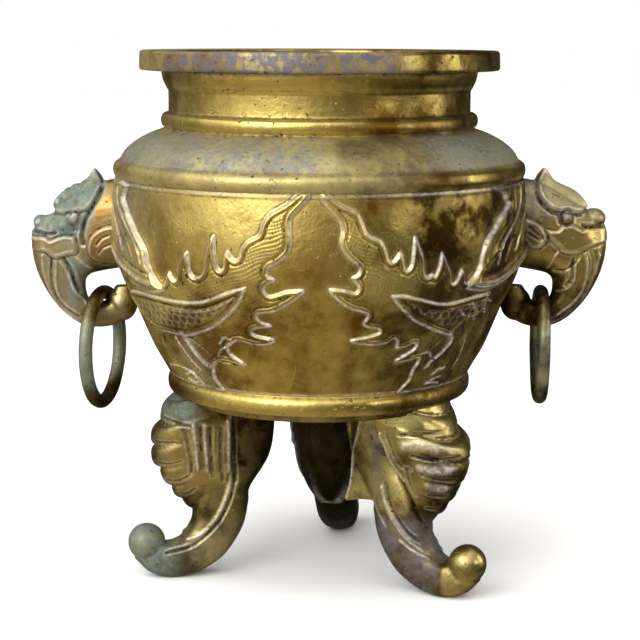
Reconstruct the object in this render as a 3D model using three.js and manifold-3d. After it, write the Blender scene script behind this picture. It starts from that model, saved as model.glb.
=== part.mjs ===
// Brass cachepot: a cast bowl with a moulded neck and rim, on three scroll feet with scallop-leaf knees,
// with two beast heads for handles and a loose ring over the curled trunk of each.
// Millimetres, +Z up. The origin is on the floor under the pot's axis, and the front faces -Y.
import * as THREE from 'three';
import { mergeVertices } from 'three/addons/utils/BufferGeometryUtils.js';
import Module from 'manifold-3d';

const wasm = await Module();
wasm.setup();

// Heights of the pot's bands, from the floor up
const legHeight = 78;
const footRingHeight = 3.3;
const baseBeadHeight = 7.9;
const bowlHeight = 82.8;
const beltHeight = 7.1;
const domeHeight = 13.4;
const neckBeadHeight = 6.5;
const neckBandHeight = 10.5;
const coveHeight = 6.8;
const rimHeight = 8.2;

// Radii of the same bands
const footRingRadius = 58;
const baseBeadRadius = 64.7;
const bowlFootRadius = 62.5;
const bellyRadius = 85.6;
const bowlTopRadius = 84.4;
const beltRadius = 86.7;
const domeRadius = 83.4;
const neckBeadRadius = 66.5;
const neckRadius = 63.3;
const coveRadius = 66.2;
const rimRadius = 75.3;
const rimEdge = 0.7;
const mouthRadius = 59.5;
const wall = 3;
const floorWall = 3.5;

// The narrow step beside each bead
const quirk = 1;

// Relief on the bowl: how far it stands proud, and how deep its solids reach into the wall
const fieldProud = 1.3;
const frameProud = 2.6;
const reliefRoot = 1.5;

// Legs: where each stands, in degrees from +X towards +Y, how far it is set out from the common place,
// and how far all of them run up into the bowl before they are cut to its shape
const legAzimuths = { leg_left: 190.5, leg_right: -35, leg_rear: 80 };
const legSetOut = { leg_left: 0, leg_right: 0.4, leg_rear: 0 };
const leafBack = 42;
const leafHalfWidth = 19.5;
const leafNotch = 2.6;
const leafLift = 9;
const plateWidth = 13;
const apronHalfWidth = 20.5;
const toeReach = 75.1;
const toeHeight = 15.3;
const toeRadius = 8;
const legOverrun = 6;

// Handles, with every reach measured out from the top of the bowl
const handleDrop = { handle_left: 0.8, handle_right: 0 };
const eyeRadius = 3.5;
const eyeReach = 20.4;
const eyeHeight = 155;
const eyeSpread = 10.2;
const noseRadius = 4.4;
const noseReach = 32.6;
const noseHeight = { handle_left: 151.8, handle_right: 154.4 };
const crestHalfWidth = 4.6;

// Rings: how far out from the bowl's top each hangs, its radius over all, and how far it is swivelled
const ringReach = { ring_left: 8.5, ring_right: 10.8 };
const ringRadius = { ring_left: 26.6, ring_right: 25.7 };
const ringSwivel = { ring_left: -10.8, ring_right: -3.3 };
const ringWire = 3;
const ringPlay = 0.7;

// Fineness of the turned surfaces, and the gap between pieces that touch
const potSides = 28;
const ringSides = 16;
const wireSides = 8;
const gap = 0.3;

const baseZ = legHeight;
const beadZ = baseZ + footRingHeight;
const bowlZ = beadZ + baseBeadHeight;
const beltZ = bowlZ + bowlHeight;
const domeZ = beltZ + beltHeight;
const neckZ = domeZ + domeHeight;
const bandZ = neckZ + neckBeadHeight;
const coveZ = bandZ + neckBandHeight;
const rimZ = coveZ + coveHeight;
const topZ = rimZ + rimHeight;

// Solids from meshes, and back

function solid(geometry) {
  const bare = new THREE.BufferGeometry();
  bare.setAttribute('position', geometry.getAttribute('position').clone());
  if (geometry.index) bare.setIndex(geometry.index.clone());
  const merged = mergeVertices(bare, 1e-4);
  const index = merged.index.array;
  const kept = [];
  for (let i = 0; i < index.length; i += 3) {
    const [a, b, c] = [index[i], index[i + 1], index[i + 2]];
    if (a !== b && b !== c && c !== a) kept.push(a, b, c);
  }
  const vertProperties = Float32Array.from(merged.getAttribute('position').array);
  const made = (triVerts) => new wasm.Manifold(new wasm.Mesh({ numProp: 3, vertProperties, triVerts }));
  const body = made(Uint32Array.from(kept));
  return body.volume() > 0 ? body : made(Uint32Array.from(kept.reverse()));
}

function union(solids) {
  return solids.reduce((whole, piece) => whole.add(piece));
}

function piece(name, body, colour, roughness, metalness) {
  const mesh = body.getMesh();
  const geometry = new THREE.BufferGeometry();
  geometry.setAttribute('position', new THREE.BufferAttribute(Float32Array.from(mesh.vertProperties), 3));
  geometry.setIndex(Array.from(mesh.triVerts));
  geometry.computeVertexNormals();
  const material = new THREE.MeshStandardMaterial({ color: colour, roughness, metalness });
  const node = new THREE.Mesh(geometry, material);
  node.name = name;
  return node;
}

// A body turned about the Z axis: the [radius, height] profile is closed, or starts and ends on the axis
function turned(profile) {
  const points = profile.map(([r, z]) => new THREE.Vector2(r, z));
  return solid(new THREE.LatheGeometry(points, potSides).rotateX(Math.PI / 2));
}

// A closed skin through rings of points, each ring with as many points, with a fan over each end
function loft(rings) {
  const count = rings[0].length;
  const centre = (ring) => [0, 1, 2].map((k) => ring.reduce((sum, p) => sum + p[k], 0) / count);
  const points = [...rings.flat(), centre(rings[0]), centre(rings.at(-1))];
  const first = rings.length * count;
  const index = [];
  for (let j = 0; j < count; j += 1) {
    const next = (j + 1) % count;
    const end = (rings.length - 1) * count;
    index.push(first, next, j, first + 1, end + j, end + next);
    for (let i = 0; i + 1 < rings.length; i += 1) {
      const [a, b] = [i * count + j, i * count + next];
      index.push(a, b, b + count, a, b + count, a + count);
    }
  }
  const geometry = new THREE.BufferGeometry();
  geometry.setAttribute('position', new THREE.Float32BufferAttribute(points.flat(), 3));
  geometry.setIndex(index);
  return solid(geometry);
}

// A block across the whole object between two heights
function slab(from, to) {
  const width = 4 * bellyRadius;
  return solid(new THREE.BoxGeometry(width, width, to - from).translate(0, 0, (from + to) / 2));
}

function ball(radius, x, y, z, sides) {
  return solid(new THREE.SphereGeometry(radius, sides, sides / 2).rotateX(Math.PI / 2).translate(x, y, z));
}

// The pot's profile

function beadPoints(inside, outside, from, to) {
  return [0.12, 0.5, 0.88].map((t) => {
    const swell = Math.sqrt(1 - (2 * t - 1) ** 2);
    return [inside + (outside - inside) * swell, from + (to - from) * t];
  });
}

// The bowl's curve, as shares of its height and of its swell between foot and belly
function bowlPoints() {
  const shares = [[0, 0], [0.15, 0.31], [0.37, 0.63], [0.55, 0.905], [0.77, 1]];
  const swell = bellyRadius - bowlFootRadius;
  const knot = ([up, out]) => new THREE.Vector2(bowlFootRadius + swell * out, bowlZ + bowlHeight * up);
  const knots = shares.map(knot);
  knots.push(new THREE.Vector2(bowlTopRadius, beltZ));
  return new THREE.SplineCurve(knots).getPoints(6).map((p) => [p.x, p.y]);
}

function domePoints() {
  const bend = 1.35;
  return [0.12, 0.5, 0.8].map((t) => [
    neckBeadRadius + (domeRadius - neckBeadRadius) * (1 - t ** bend) ** (1 / bend),
    domeZ + domeHeight * t,
  ]);
}

function outerProfile() {
  const ledge = bowlFootRadius - quirk;
  return [
    [0, baseZ], [footRingRadius, baseZ], [footRingRadius, beadZ], [ledge, beadZ],
    ...beadPoints(ledge, baseBeadRadius, beadZ, bowlZ),
    ...bowlPoints(),
    ...beadPoints(bowlTopRadius, beltRadius, beltZ, domeZ),
    ...domePoints(),
    [neckBeadRadius - quirk, neckZ],
    ...beadPoints(neckRadius, neckBeadRadius, neckZ, bandZ),
    [neckRadius, bandZ], [neckRadius, coveZ],
    ...beadPoints(neckRadius, coveRadius, coveZ, rimZ),
    [coveRadius - quirk, rimZ], [rimRadius - rimEdge, rimZ], [rimRadius, rimZ + rimEdge],
    [rimRadius, topZ - rimEdge], [rimRadius - rimEdge, topZ],
  ];
}

// The profile moved outwards along its own normals; on the axis it only moves up or down
function offsetProfile(profile, distance) {
  const normal = ([ax, ay], [bx, by]) => new THREE.Vector2(by - ay, ax - bx).normalize();
  return profile.map((point, i) => {
    const before = i > 0 ? normal(profile[i - 1], point) : normal(point, profile[i + 1]);
    const after = i + 1 < profile.length ? normal(point, profile[i + 1]) : before;
    const middle = before.clone().add(after).normalize();
    const reach = distance / middle.dot(after);
    return [point[0] === 0 ? 0 : point[0] + middle.x * reach, point[1] + middle.y * reach];
  });
}

function potBody() {
  const hollow = offsetProfile(bowlPoints(), -wall).reverse().filter((point, i) => i % 2 === 1);
  const inner = [
    [mouthRadius, topZ], [mouthRadius, neckZ], [domeRadius - 2 * wall, domeZ + wall],
    ...hollow,
    [footRingRadius, baseZ + 2 * floorWall],
    [footRingRadius - wall, baseZ + floorWall], [0, baseZ + floorWall],
  ];
  return turned([...outerProfile(), ...inner]);
}

// The outside of the pot as a full body, grown all round: what stands against the pot is cut by it
function potEnvelope(grown) {
  return turned([...offsetProfile(outerProfile(), grown), [0, topZ + grown]]);
}

// Relief. Outlines are [degrees from the front's middle, share of the bowl's height].

// The flames' edge: between the valleys' flat floors, each tip stands up steeply
function flames(valleys, tips) {
  const edge = [];
  const width = 1.2;
  tips.forEach((tip, i) => {
    const low = valleys[i];
    edge.push([low[0] - width, low[1]], [low[0] + width, low[1]], tip);
  });
  edge.push(valleys[valleys.length - 1]);
  return edge;
}

function bent(from, control, to, count) {
  const [a, b, c] = [from, control, to].map(([x, y]) => new THREE.Vector2(x, y));
  return new THREE.QuadraticBezierCurve(a, b, c).getPoints(count).map((p) => [p.x, p.y]);
}

const upperFlames = flames(
  [[19.3, 0.678], [23.3, 0.632], [30, 0.597], [38.5, 0.551], [44.5, 0.539]],
  [[21.5, 0.735], [26, 0.8], [34.5, 0.705], [41, 0.635]],
);
const backFlames = flames([[22, 0.65], [30, 0.597], [44.5, 0.539]], [[26, 0.8], [34.5, 0.705]]);
const innerFlames = [
  [34.5, -0.01], [33.3, 0.188], [25, 0.193], [30, 0.263], [24, 0.34],
  [9.3, 0.3], [18.3, 0.355], [14.5, 0.43], [8.5, 0.475], [3, 0.558],
  [10.3, 0.524], [12.3, 0.559], [9, 0.605], [12, 0.64], [8, 0.716], [7, 0.85],
];
const field = (flameEdge) => [
  ...innerFlames, [1, 1], [2.5, 1], [11, 0.879], [12.5, 0.807], [17.5, 0.76],
  ...flameEdge, [48, 0.586], [62, 0.58], [56, -0.01],
];
const pod = [
  ...bent([19.3, 0.535], [38, 0.44], [58, 0.445], 3),
  ...bent([54, 0.4], [40, 0.14], [19.3, 0.535], 4).slice(0, -1),
];
const frameSide = [
  [60, 1], [62, 0.915], [51.5, 0.758], [48, 0.586], [45, 0.523], [60, 0.53], [78, 0.613],
];

// The bowl's radius at a share of its height
function bowlRadius(share) {
  const points = bowlPoints();
  const height = THREE.MathUtils.clamp(bowlZ + share * bowlHeight, bowlZ, beltZ);
  const i = Math.max(1, points.findIndex(([, z]) => z >= height - 1e-6));
  const [[r0, z0], [r1, z1]] = [points[i - 1], points[i]];
  return THREE.MathUtils.mapLinear(height, z0, z1, r0, r1);
}

// A prism from the pot's axis outwards, whose section is the outline as seen square on.
// Side 1 runs the degrees to the right of the front's middle, side -1 to the left.
function prism(outline, middle, side) {
  const degrees = outline.map(([angle]) => angle);
  const aim = THREE.MathUtils.degToRad(middle + side * (Math.min(...degrees) + Math.max(...degrees)) / 2);
  const shape = new THREE.Shape(outline.map(([angle, share]) => {
    const turn = THREE.MathUtils.degToRad(middle + side * angle) - aim;
    return new THREE.Vector2(bowlRadius(share) * Math.sin(turn), bowlZ + share * bowlHeight);
  }));
  const geometry = new THREE.ExtrudeGeometry(shape, { depth: 2 * bellyRadius, bevelEnabled: false });
  const across = new THREE.Vector3(-Math.sin(aim), Math.cos(aim), 0);
  const up = new THREE.Vector3(0, 0, 1);
  const outwards = new THREE.Vector3(Math.cos(aim), Math.sin(aim), 0);
  return solid(geometry.applyMatrix4(new THREE.Matrix4().makeBasis(across, up, outwards)));
}

// A shell over the bowl, that much proud of it and rooted in its wall
function bowlShell(proud) {
  const rise = 0.6;
  const curve = bowlPoints();
  const outside = offsetProfile(curve, proud);
  const inside = offsetProfile(curve, -reliefRoot).reverse();
  const top = [[bowlTopRadius + proud, beltZ + rise], [bowlTopRadius - reliefRoot, beltZ + rise]];
  return turned([...outside, ...top, ...inside, outside[0]]);
}

function relief() {
  const front = -90;
  const back = 90;
  const fields = [];
  const raised = [];
  [front, back].forEach((middle) => [1, -1].forEach((side) => {
    fields.push(prism(field(middle === front ? upperFlames : backFlames), middle, side));
    raised.push(prism(pod, middle, side));
  }));
  const frame = [...frameSide, ...frameSide.map(([degrees, share]) => [180 - degrees, share]).reverse()];
  raised.push(prism(frame, front, 1), prism(frame, front, -1));
  const low = bowlShell(fieldProud).intersect(union(fields));
  const high = bowlShell(frameProud).intersect(union(raised));
  return low.add(high);
}

// Bands between two edges, for the scroll feet and the trunks.
// A station is [outer x, outer z, inner x, inner z, half width], and the section runs round both edges.

const scrollSection = [[1, 0], [0.75, 0.72], [0.38, 1], [0.24, 0.8], [0.08, 1], [-0.7, 0.92], [-1, 0]];
const roundSection = [[1, 0], [0.82, 0.62], [0.3, 0.98], [-0.3, 0.98], [-0.82, 0.62], [-1, 0]];
const crestSection = [[1, 0], [0.6, 0.8], [0, 1], [-0.6, 0.8], [-1, 0]];

function band(stations, section) {
  const both = [...section, ...section.slice(1, -1).reverse().map(([n, t]) => [n, -t])];
  return loft(stations.map(([ox, oz, ix, iz, half]) => both.map(([n, t]) => [
    (ox + ix) / 2 + n * (ox - ix) / 2,
    t * half,
    (oz + iz) / 2 + n * (oz - iz) / 2,
  ])));
}

// Legs, built along +X and turned to their azimuth

const scrollStations = [
  [19.5, 84, 46, 84, 9.8], [19.5, 66, 46, 68, 9.8], [22, 52, 46, 55, 9.8],
  [30.2, 38.6, 52, 42, 9.8], [31, 32, 54.8, 31, 9.7], [33.4, 21.2, 55.8, 23.5, 9.4],
  [40.4, 9.8, 59.8, 17, 8.9], [48.3, 3.6, 62.5, 15.4, 8.4], [57, 0, 64.4, 14.8, 8],
  [66, -0.8, 66.8, 14.8, 7.6], [74.5, 2.4, 69.5, 15.8, 7], [81, 8.4, 72.5, 17.8, 5],
];

// Each lobe is [reach at its shoulder, reach at its chin, height of the notch below it]
const lowerLobes = [[73.2, 72.2, 48.4], [70, 66.9, 40], [64.9, 62.4, 34.2], [60.5, 56.8, 29.3]];
const upperLobes = [[67.6, 69.2, 66.7], [72.2, 73.2, 57.8]];
const leafLobes = {
  leg_left: [...upperLobes, ...lowerLobes],
  leg_right: [[64, 68.4, 66.7], [71.6, 75.2, 58.4], ...lowerLobes],
  leg_rear: [...upperLobes, ...lowerLobes],
};

function leafRows(name) {
  const rows = [[60, legHeight + legOverrun], [63, legHeight + 1]];
  let top = legHeight - 1;
  leafLobes[name].forEach(([shoulder, chin, foot]) => {
    const drop = top - foot;
    rows.push([shoulder, top - 0.14 * drop]);
    if (drop > 2 * leafNotch) rows.push([chin, top - 0.78 * drop]);
    rows.push([chin - leafNotch, foot]);
    top = foot;
  });
  return rows;
}

function leaf(name) {
  const angles = [90, 79, 68, 57, 40, 20, 0, -20, -40, -57, -68, -79, -90];
  const flutes = [0, 1.3, 0, 1.3, 0, 0, 0, 0, 0, 1.3, 0, 1.3, 0];
  const waist = 26;
  const fullAt = 66;
  const rings = leafRows(name).map(([reach, height]) => {
    const share = Math.min(1, (height - waist) / (fullAt - waist));
    const half = leafHalfWidth * share ** 0.4;
    return angles.map((degrees, i) => {
      const angle = THREE.MathUtils.degToRad(degrees);
      const out = Math.cos(angle) ** 0.85;
      return [
        leafBack + (reach - leafBack) * out,
        (half + flutes[i]) * Math.sin(angle),
        height + leafLift * (1 - Math.cos(angle)),
      ];
    });
  });
  return loft(rings);
}

// The flat web behind the right leg's leaf, which ends in a sharp lower corner
function plate() {
  const [back, front, foot, top] = [15, 44, 34, legHeight + legOverrun];
  const box = new THREE.BoxGeometry(front - back, plateWidth, top - foot);
  return solid(box.translate((front + back) / 2, 0, (top + foot) / 2));
}

// The broad back of the rear leg, which narrows towards the foot
function apron() {
  const [back, front] = [31, 46];
  const rows = [[legHeight + legOverrun, 1], [58, 0.97], [40, 0.84], [26, 0.62], [20, 0.35]];
  return loft(rows.map(([height, share]) => {
    const half = apronHalfWidth * share;
    const narrow = 0.6 * half;
    return [[back, narrow, height], [front, half, height], [front, -half, height], [back, -narrow, height]];
  }));
}

function leg(name, envelope) {
  const toe = ball(toeRadius, toeReach, 0, toeHeight, 10);
  const parts = [band(scrollStations, scrollSection), leaf(name), toe];
  if (name === 'leg_right') parts.push(plate());
  if (name === 'leg_rear') parts.push(apron());
  const whole = union(parts).translate([legSetOut[name], 0, 0]).rotate([0, 0, legAzimuths[name]]);
  return whole.subtract(envelope).subtract(slab(-toeHeight, 0));
}

// Handles, built along +X and turned round for the left one

const headStations = [
  [-6.4, 172.5, -6.4, 134.5, 13], [10.6, 169.5, 10.6, 131.4, 12.4], [23.6, 162, 14.2, 129.6, 11.5],
  [32.8, 155.6, 15, 128.6, 11], [37.8, 151, 15.3, 127.5, 10.5], [38.6, 144.5, 15.4, 126.2, 10],
  [37.6, 136.5, 15.4, 124.8, 9.2], [34.6, 128, 15.2, 123, 8.3], [29, 118.8, 14.6, 120.9, 7.4],
  [21.6, 111.4, 13.4, 119.4, 6.6], [14, 107.8, 11.2, 118.8, 6], [5.6, 107.7, 8.6, 118.8, 5.7],
  [-0.2, 110.3, 6.6, 119.3, 5.5], [-4.2, 114.6, 5.3, 120.6, 5.2], [-6, 120, 4.3, 122.8, 4.8],
  [-3.8, 125.8, 2.6, 125.6, 3.2],
];
const crestStations = [
  [10.2, 176.5, 12.4, 173.5, 1], [7.1, 171.5, 14.5, 171, 3], [7.6, 166, 18.4, 168.9, 4.6],
  [13.6, 161, 22.6, 167, 4.6], [18.6, 158, 25.9, 164.6, 4.2], [23.2, 156.6, 28.2, 162, 3.8],
  [27, 157, 29.2, 159.6, 2],
];

// The height of the trunk's upper edge, over which the ring hangs, at a distance out from the bowl's top
function trunkTop(reach) {
  const i = headStations.findLastIndex(([, , x]) => x >= reach);
  const [[, , x0, z0], [, , x1, z1]] = [headStations[i], headStations[i + 1]];
  return THREE.MathUtils.mapLinear(reach, x0, x1, z0, z1);
}

function handle(name, envelope, frameEnvelope) {
  const widest = Math.max(...crestStations.map((station) => station[4]));
  const crest = crestStations.map(([a, b, c, d, half]) => [a, b, c, d, half * crestHalfWidth / widest]);
  const whole = union([
    band(headStations, roundSection),
    band(crest, crestSection),
    ball(noseRadius, noseReach, 0, noseHeight[name], 8),
    ball(eyeRadius, eyeReach, eyeSpread, eyeHeight, 8),
    ball(eyeRadius, eyeReach, -eyeSpread, eyeHeight, 8),
  ]);
  const turn = name === 'handle_left' ? 180 : 0;
  const placed = whole.translate([bowlTopRadius, 0, -handleDrop[name]]).rotate([0, 0, turn]);
  return placed.subtract(envelope).subtract(frameEnvelope);
}

// Rings, each hung over its trunk

function ring(name) {
  const [side, drop] = name === 'ring_left' ? [-1, handleDrop.handle_left] : [1, handleDrop.handle_right];
  const radius = ringRadius[name] - ringWire;
  const height = trunkTop(ringReach[name]) - drop + ringPlay + ringWire - radius;
  const turn = THREE.MathUtils.degToRad(ringSwivel[name]);
  const torus = new THREE.TorusGeometry(radius, ringWire, wireSides, ringSides).rotateY(Math.PI / 2);
  const out = bowlTopRadius + ringReach[name];
  return solid(torus.rotateZ(turn).translate(side * out, 0, height));
}

const cachepot = new THREE.Group();
const nearPot = potEnvelope(gap);
const nearFrame = potEnvelope(gap + frameProud).intersect(slab(bowlZ + bowlHeight / 2, topZ));
cachepot.add(piece('pot', potBody().add(relief()), '#a88a3f', 0.34, 1));
Object.keys(legAzimuths).forEach((name) => {
  cachepot.add(piece(name, leg(name, nearPot), '#8f7a45', 0.4, 1));
});
cachepot.add(piece('handle_left', handle('handle_left', nearPot, nearFrame), '#8fa08a', 0.5, 1));
cachepot.add(piece('handle_right', handle('handle_right', nearPot, nearFrame), '#97825a', 0.42, 1));
Object.keys(ringSwivel).forEach((name) => {
  cachepot.add(piece(name, ring(name), name === 'ring_left' ? '#6f8f88' : '#6d6038', 0.5, 1));
});

export default cachepot;
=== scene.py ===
# %% [markdown]
# # A cast brass cachepot
#
# The real pot is foundry work: a bowl, three legs and two handles, each cast in sand, cleaned up with files
# and chasing punches, and then fitted together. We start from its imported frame, which already has every
# piece at its true size and place, and dress each piece with the detail that a caster and a chaser would
# give it.

# %% Load the frame
import math

import bpy
import numpy as np
from mathutils import Matrix


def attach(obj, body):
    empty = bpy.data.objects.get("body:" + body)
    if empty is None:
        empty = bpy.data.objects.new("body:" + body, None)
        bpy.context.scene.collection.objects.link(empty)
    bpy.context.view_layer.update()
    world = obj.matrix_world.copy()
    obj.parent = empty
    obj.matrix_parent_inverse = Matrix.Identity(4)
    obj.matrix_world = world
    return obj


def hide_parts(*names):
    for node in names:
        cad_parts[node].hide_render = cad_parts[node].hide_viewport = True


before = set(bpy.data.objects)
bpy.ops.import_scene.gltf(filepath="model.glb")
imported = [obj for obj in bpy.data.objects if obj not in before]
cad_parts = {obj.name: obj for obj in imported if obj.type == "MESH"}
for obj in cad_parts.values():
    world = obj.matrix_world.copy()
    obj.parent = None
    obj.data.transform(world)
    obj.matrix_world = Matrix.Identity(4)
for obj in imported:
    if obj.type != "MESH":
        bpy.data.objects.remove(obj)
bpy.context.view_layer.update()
MM = 0.001

# %% [markdown]
# ## Camera, light and floor
#
# The camera comes first, so that every test render can be laid over the photograph. A 95 mm lens looks down
# by a little less than ten degrees from about 0.72 m away.
#
# Polished metal shows its surroundings more than itself. A plain white world would make the brass look like
# paper, so the world here is a room: bright above and to the left, dim to the right and below. The camera
# itself sees a plain pale backdrop.

# %% Camera
lens_data = bpy.data.cameras.new("camera")
lens_data.lens = 95.6
lens_data.sensor_width = 36
lens_data.clip_start = 0.01
camera = bpy.data.objects.new("camera", lens_data)
bpy.context.scene.collection.objects.link(camera)
bpy.context.scene.camera = camera
look_down = Matrix.Rotation(math.radians(90 - 9.62), 4, "X") @ Matrix.Rotation(math.radians(0.19), 4, "Z")
camera.matrix_world = Matrix.Translation((0.0005, -0.720, 0.2320)) @ look_down
print("camera at", tuple(round(v, 3) for v in camera.matrix_world.translation))


# %% One helper for every shader node
def add(tree, kind, settings=None, sockets=None):
    """Adds a node. Each socket takes a number, a colour or the output of another node."""
    node = tree.nodes.new(kind)
    for name, value in (settings or {}).items():
        setattr(node, name, value)
    for name, value in (sockets or {}).items():
        if isinstance(value, bpy.types.NodeSocket):
            tree.links.new(value, node.inputs[name])
        else:
            node.inputs[name].default_value = value
    return node


def linear(hex_colour):
    """An sRGB hex colour as the linear RGBA that shaders want."""
    parts = [int(hex_colour[i:i + 2], 16) / 255 for i in (1, 3, 5)]
    return [p / 12.92 if p <= 0.04045 else ((p + 0.055) / 1.055) ** 2.4 for p in parts] + [1.0]


# %% The room that the metal reflects
world = bpy.data.worlds.new("studio")
bpy.context.scene.world = world
bpy.context.scene.view_settings.view_transform = "Standard"
world.use_nodes = True
room = world.node_tree
room.nodes.clear()
direction = add(room, "ShaderNodeTexCoord").outputs["Generated"]
# Each glow: colour, direction, the cosines between which it grows, and its dimmest and brightest strength.
glows = [((0.96, 0.98, 1.0, 1), (-0.50, -0.45, 0.74), (0.25, 0.95), (0.02, 1.0)),
         ((1.0, 0.86, 0.62, 1), (-0.40, -0.35, -0.85), (0.1, 0.9), (0.03, 0.34))]
sources = []
for colour, towards, (low, high), (dim, bright) in glows:
    facing = add(room, "ShaderNodeVectorMath", {"operation": "DOT_PRODUCT"}, {0: direction, 1: towards})
    glow = add(room, "ShaderNodeMapRange", {"interpolation_type": "SMOOTHSTEP"},
               {"Value": facing.outputs["Value"], "From Min": low, "From Max": high,
                "To Min": dim, "To Max": bright})
    sources.append(add(room, "ShaderNodeBackground", None, {"Color": colour, "Strength": glow.outputs[0]}))
sky_and_ground = add(room, "ShaderNodeAddShader", None, {0: sources[0].outputs[0], 1: sources[1].outputs[0]})
backdrop = add(room, "ShaderNodeBackground", None, {"Color": (1, 1, 1, 1), "Strength": 1.0})
seen = add(room, "ShaderNodeLightPath").outputs["Is Camera Ray"]
both = add(room, "ShaderNodeMixShader", None, {0: seen, 1: sky_and_ground.outputs[0], 2: backdrop.outputs[0]})
add(room, "ShaderNodeOutputWorld", None, {"Surface": both.outputs[0]})


def softbox(name, place, target, wide, tall, power):
    """An area light at place, aimed at target."""
    data = bpy.data.lights.new(name, "AREA")
    data.shape, data.size, data.size_y, data.energy = "RECTANGLE", wide, tall, power
    light = bpy.data.objects.new(name, data)
    bpy.context.scene.collection.objects.link(light)
    aim = np.subtract(target, place)
    forward = aim / np.linalg.norm(aim)
    side = np.cross(forward, (0, 0.01, 1))
    side = side / np.linalg.norm(side)
    up = np.cross(side, forward)
    turned_to = Matrix((side, up, -forward)).transposed().to_4x4()
    light.matrix_world = Matrix.Translation(place) @ turned_to


middle = (0, 0, 0.12)
softbox("window", (-0.62, -0.88, 0.66), middle, wide=0.7, tall=0.7, power=6)
softbox("fill", (0.9, -0.7, 0.35), middle, wide=0.3, tall=0.3, power=1.5)
softbox("doorway", (0.9, -0.04, 0.32), middle, wide=0.10, tall=0.6, power=1.6)
# The overcast sky is a very wide sun. Most of it lights matt things only, so that the brass keeps its darks.
for name, energy, glossy in (("overcast", 2.1, False), ("overcast_gleam", 0.9, True)):
    overcast = bpy.data.lights.new(name, "SUN")
    overcast.energy, overcast.angle = energy, math.radians(110)
    overcast_sky = bpy.data.objects.new(name, overcast)
    bpy.context.scene.collection.objects.link(overcast_sky)
    overcast_sky.rotation_euler = (math.radians(14), math.radians(-10), 0)
    overcast_sky.visible_glossy = glossy

# %% [markdown]
# The floor is a large pale sheet of paper. It isn't part of the object. It is kept out of the reflections: the
# real pot stood over something dark, and the underside of its bowl shows that.

# %% Floor
paper_mesh = bpy.data.meshes.new("paper_floor")
reach = 6.0
paper_mesh.from_pydata([(-reach, -reach, 0), (reach, -reach, 0), (reach, reach, 0), (-reach, reach, 0)], [],
                       [(0, 1, 2, 3)])
paper = bpy.data.objects.new("paper_floor", paper_mesh)
bpy.context.scene.collection.objects.link(paper)
paper.visible_glossy = False
white_card = bpy.data.materials.new("white_card")
white_card.use_nodes = True
white_card.node_tree.nodes["Principled BSDF"].inputs["Base Color"].default_value = linear("#f7f6f4")
white_card.node_tree.nodes["Principled BSDF"].inputs["Roughness"].default_value = 0.9
paper_mesh.materials.append(white_card)

# %% [markdown]
# ## Small tools for shapes
#
# Everything on this pot is either turned, lofted through stations or drawn as a line of relief. Three
# helpers do most of it: a smooth curve through a few knots, a closed body through rings of points, and the
# distance from many points to a drawn line. All of them work in millimetres; only the finished mesh is
# turned into metres.


# %% Curves, grids and distances
def through(knots, steps):
    """Points on a smooth curve through the knots, with this many steps to each stretch."""
    k = np.asarray(knots, float)
    k = np.vstack([2 * k[0] - k[1], k, 2 * k[-1] - k[-2]])
    t = np.linspace(0, 1, steps, endpoint=False)[:, None]
    made = []
    for a, b, c, d in zip(k, k[1:], k[2:], k[3:]):
        made.append(0.5 * (2 * b + (c - a) * t + (2 * a - 5 * b + 4 * c - d) * t ** 2
                           + (3 * b - 3 * c + d - a) * t ** 3))
    return np.vstack(made + [k[-2]])


def step(x, low, high):
    """Rises smoothly from 0 at low to 1 at high."""
    t = np.clip((x - low) / (high - low), 0, 1)
    return t * t * (3 - 2 * t)


def bump(x, width):
    """A rounded ridge over x = 0, with its shoulders at this width."""
    return np.exp(-(x / width) ** 2)


def to_path(x, y, path, closed=False):
    """Each point's distance to a path, and how far along the path its nearest place lies, from 0 to 1."""
    p = np.asarray(path, float)
    if closed:
        p = np.vstack([p, p[:1]])
    lengths = np.hypot(*(p[1:] - p[:-1]).T)
    start = np.concatenate([[0], np.cumsum(lengths)])
    best, along = np.full(x.shape, 1e9), np.zeros(x.shape)
    for (ax, ay), (bx, by), length, at in zip(p, p[1:], lengths, start):
        if length == 0:
            continue
        t = np.clip(((x - ax) * (bx - ax) + (y - ay) * (by - ay)) / length ** 2, 0, 1)
        d = np.hypot(x - ax - t * (bx - ax), y - ay - t * (by - ay))
        nearer = d < best
        best = np.where(nearer, d, best)
        along = np.where(nearer, (at + t * length) / start[-1], along)
    return best, along


def inside(x, y, path):
    """True for the points inside a closed path."""
    p = np.asarray(path, float)
    count = np.zeros(x.shape, bool)
    for (ax, ay), (bx, by) in zip(p, np.roll(p, -1, axis=0)):
        crosses = (ay > y) != (by > y)
        with np.errstate(divide="ignore", invalid="ignore"):
            count ^= crosses & (x < (bx - ax) * (y - ay) / (by - ay) + ax)
    return count


def depth_inside(x, y, path):
    """How far inside a closed path each point lies, and less than 0 outside it."""
    d, _ = to_path(x, y, path, closed=True)
    return np.where(inside(x, y, path), d, -d)


def mesh_object(name, points, faces):
    """A smooth mesh object from points in millimetres."""
    mesh = bpy.data.meshes.new(name)
    mesh.from_pydata((np.asarray(points, float) * MM).tolist(), [], faces)
    mesh.polygons.foreach_set("use_smooth", [True] * len(mesh.polygons))
    mesh.update()
    made = bpy.data.objects.new(name, mesh)
    bpy.context.scene.collection.objects.link(made)
    return made


def grid_faces(rows, columns, close_rows=False, close_columns=True):
    """Quads over a grid, which may close into a loop either way."""
    i, j = np.meshgrid(np.arange(rows if close_rows else rows - 1),
                       np.arange(columns if close_columns else columns - 1), indexing="ij")
    up, on = (i + 1) % rows, (j + 1) % columns
    quads = np.stack([i * columns + j, i * columns + on, up * columns + on, up * columns + j], -1)
    return quads.reshape(-1, 4).tolist()


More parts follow.
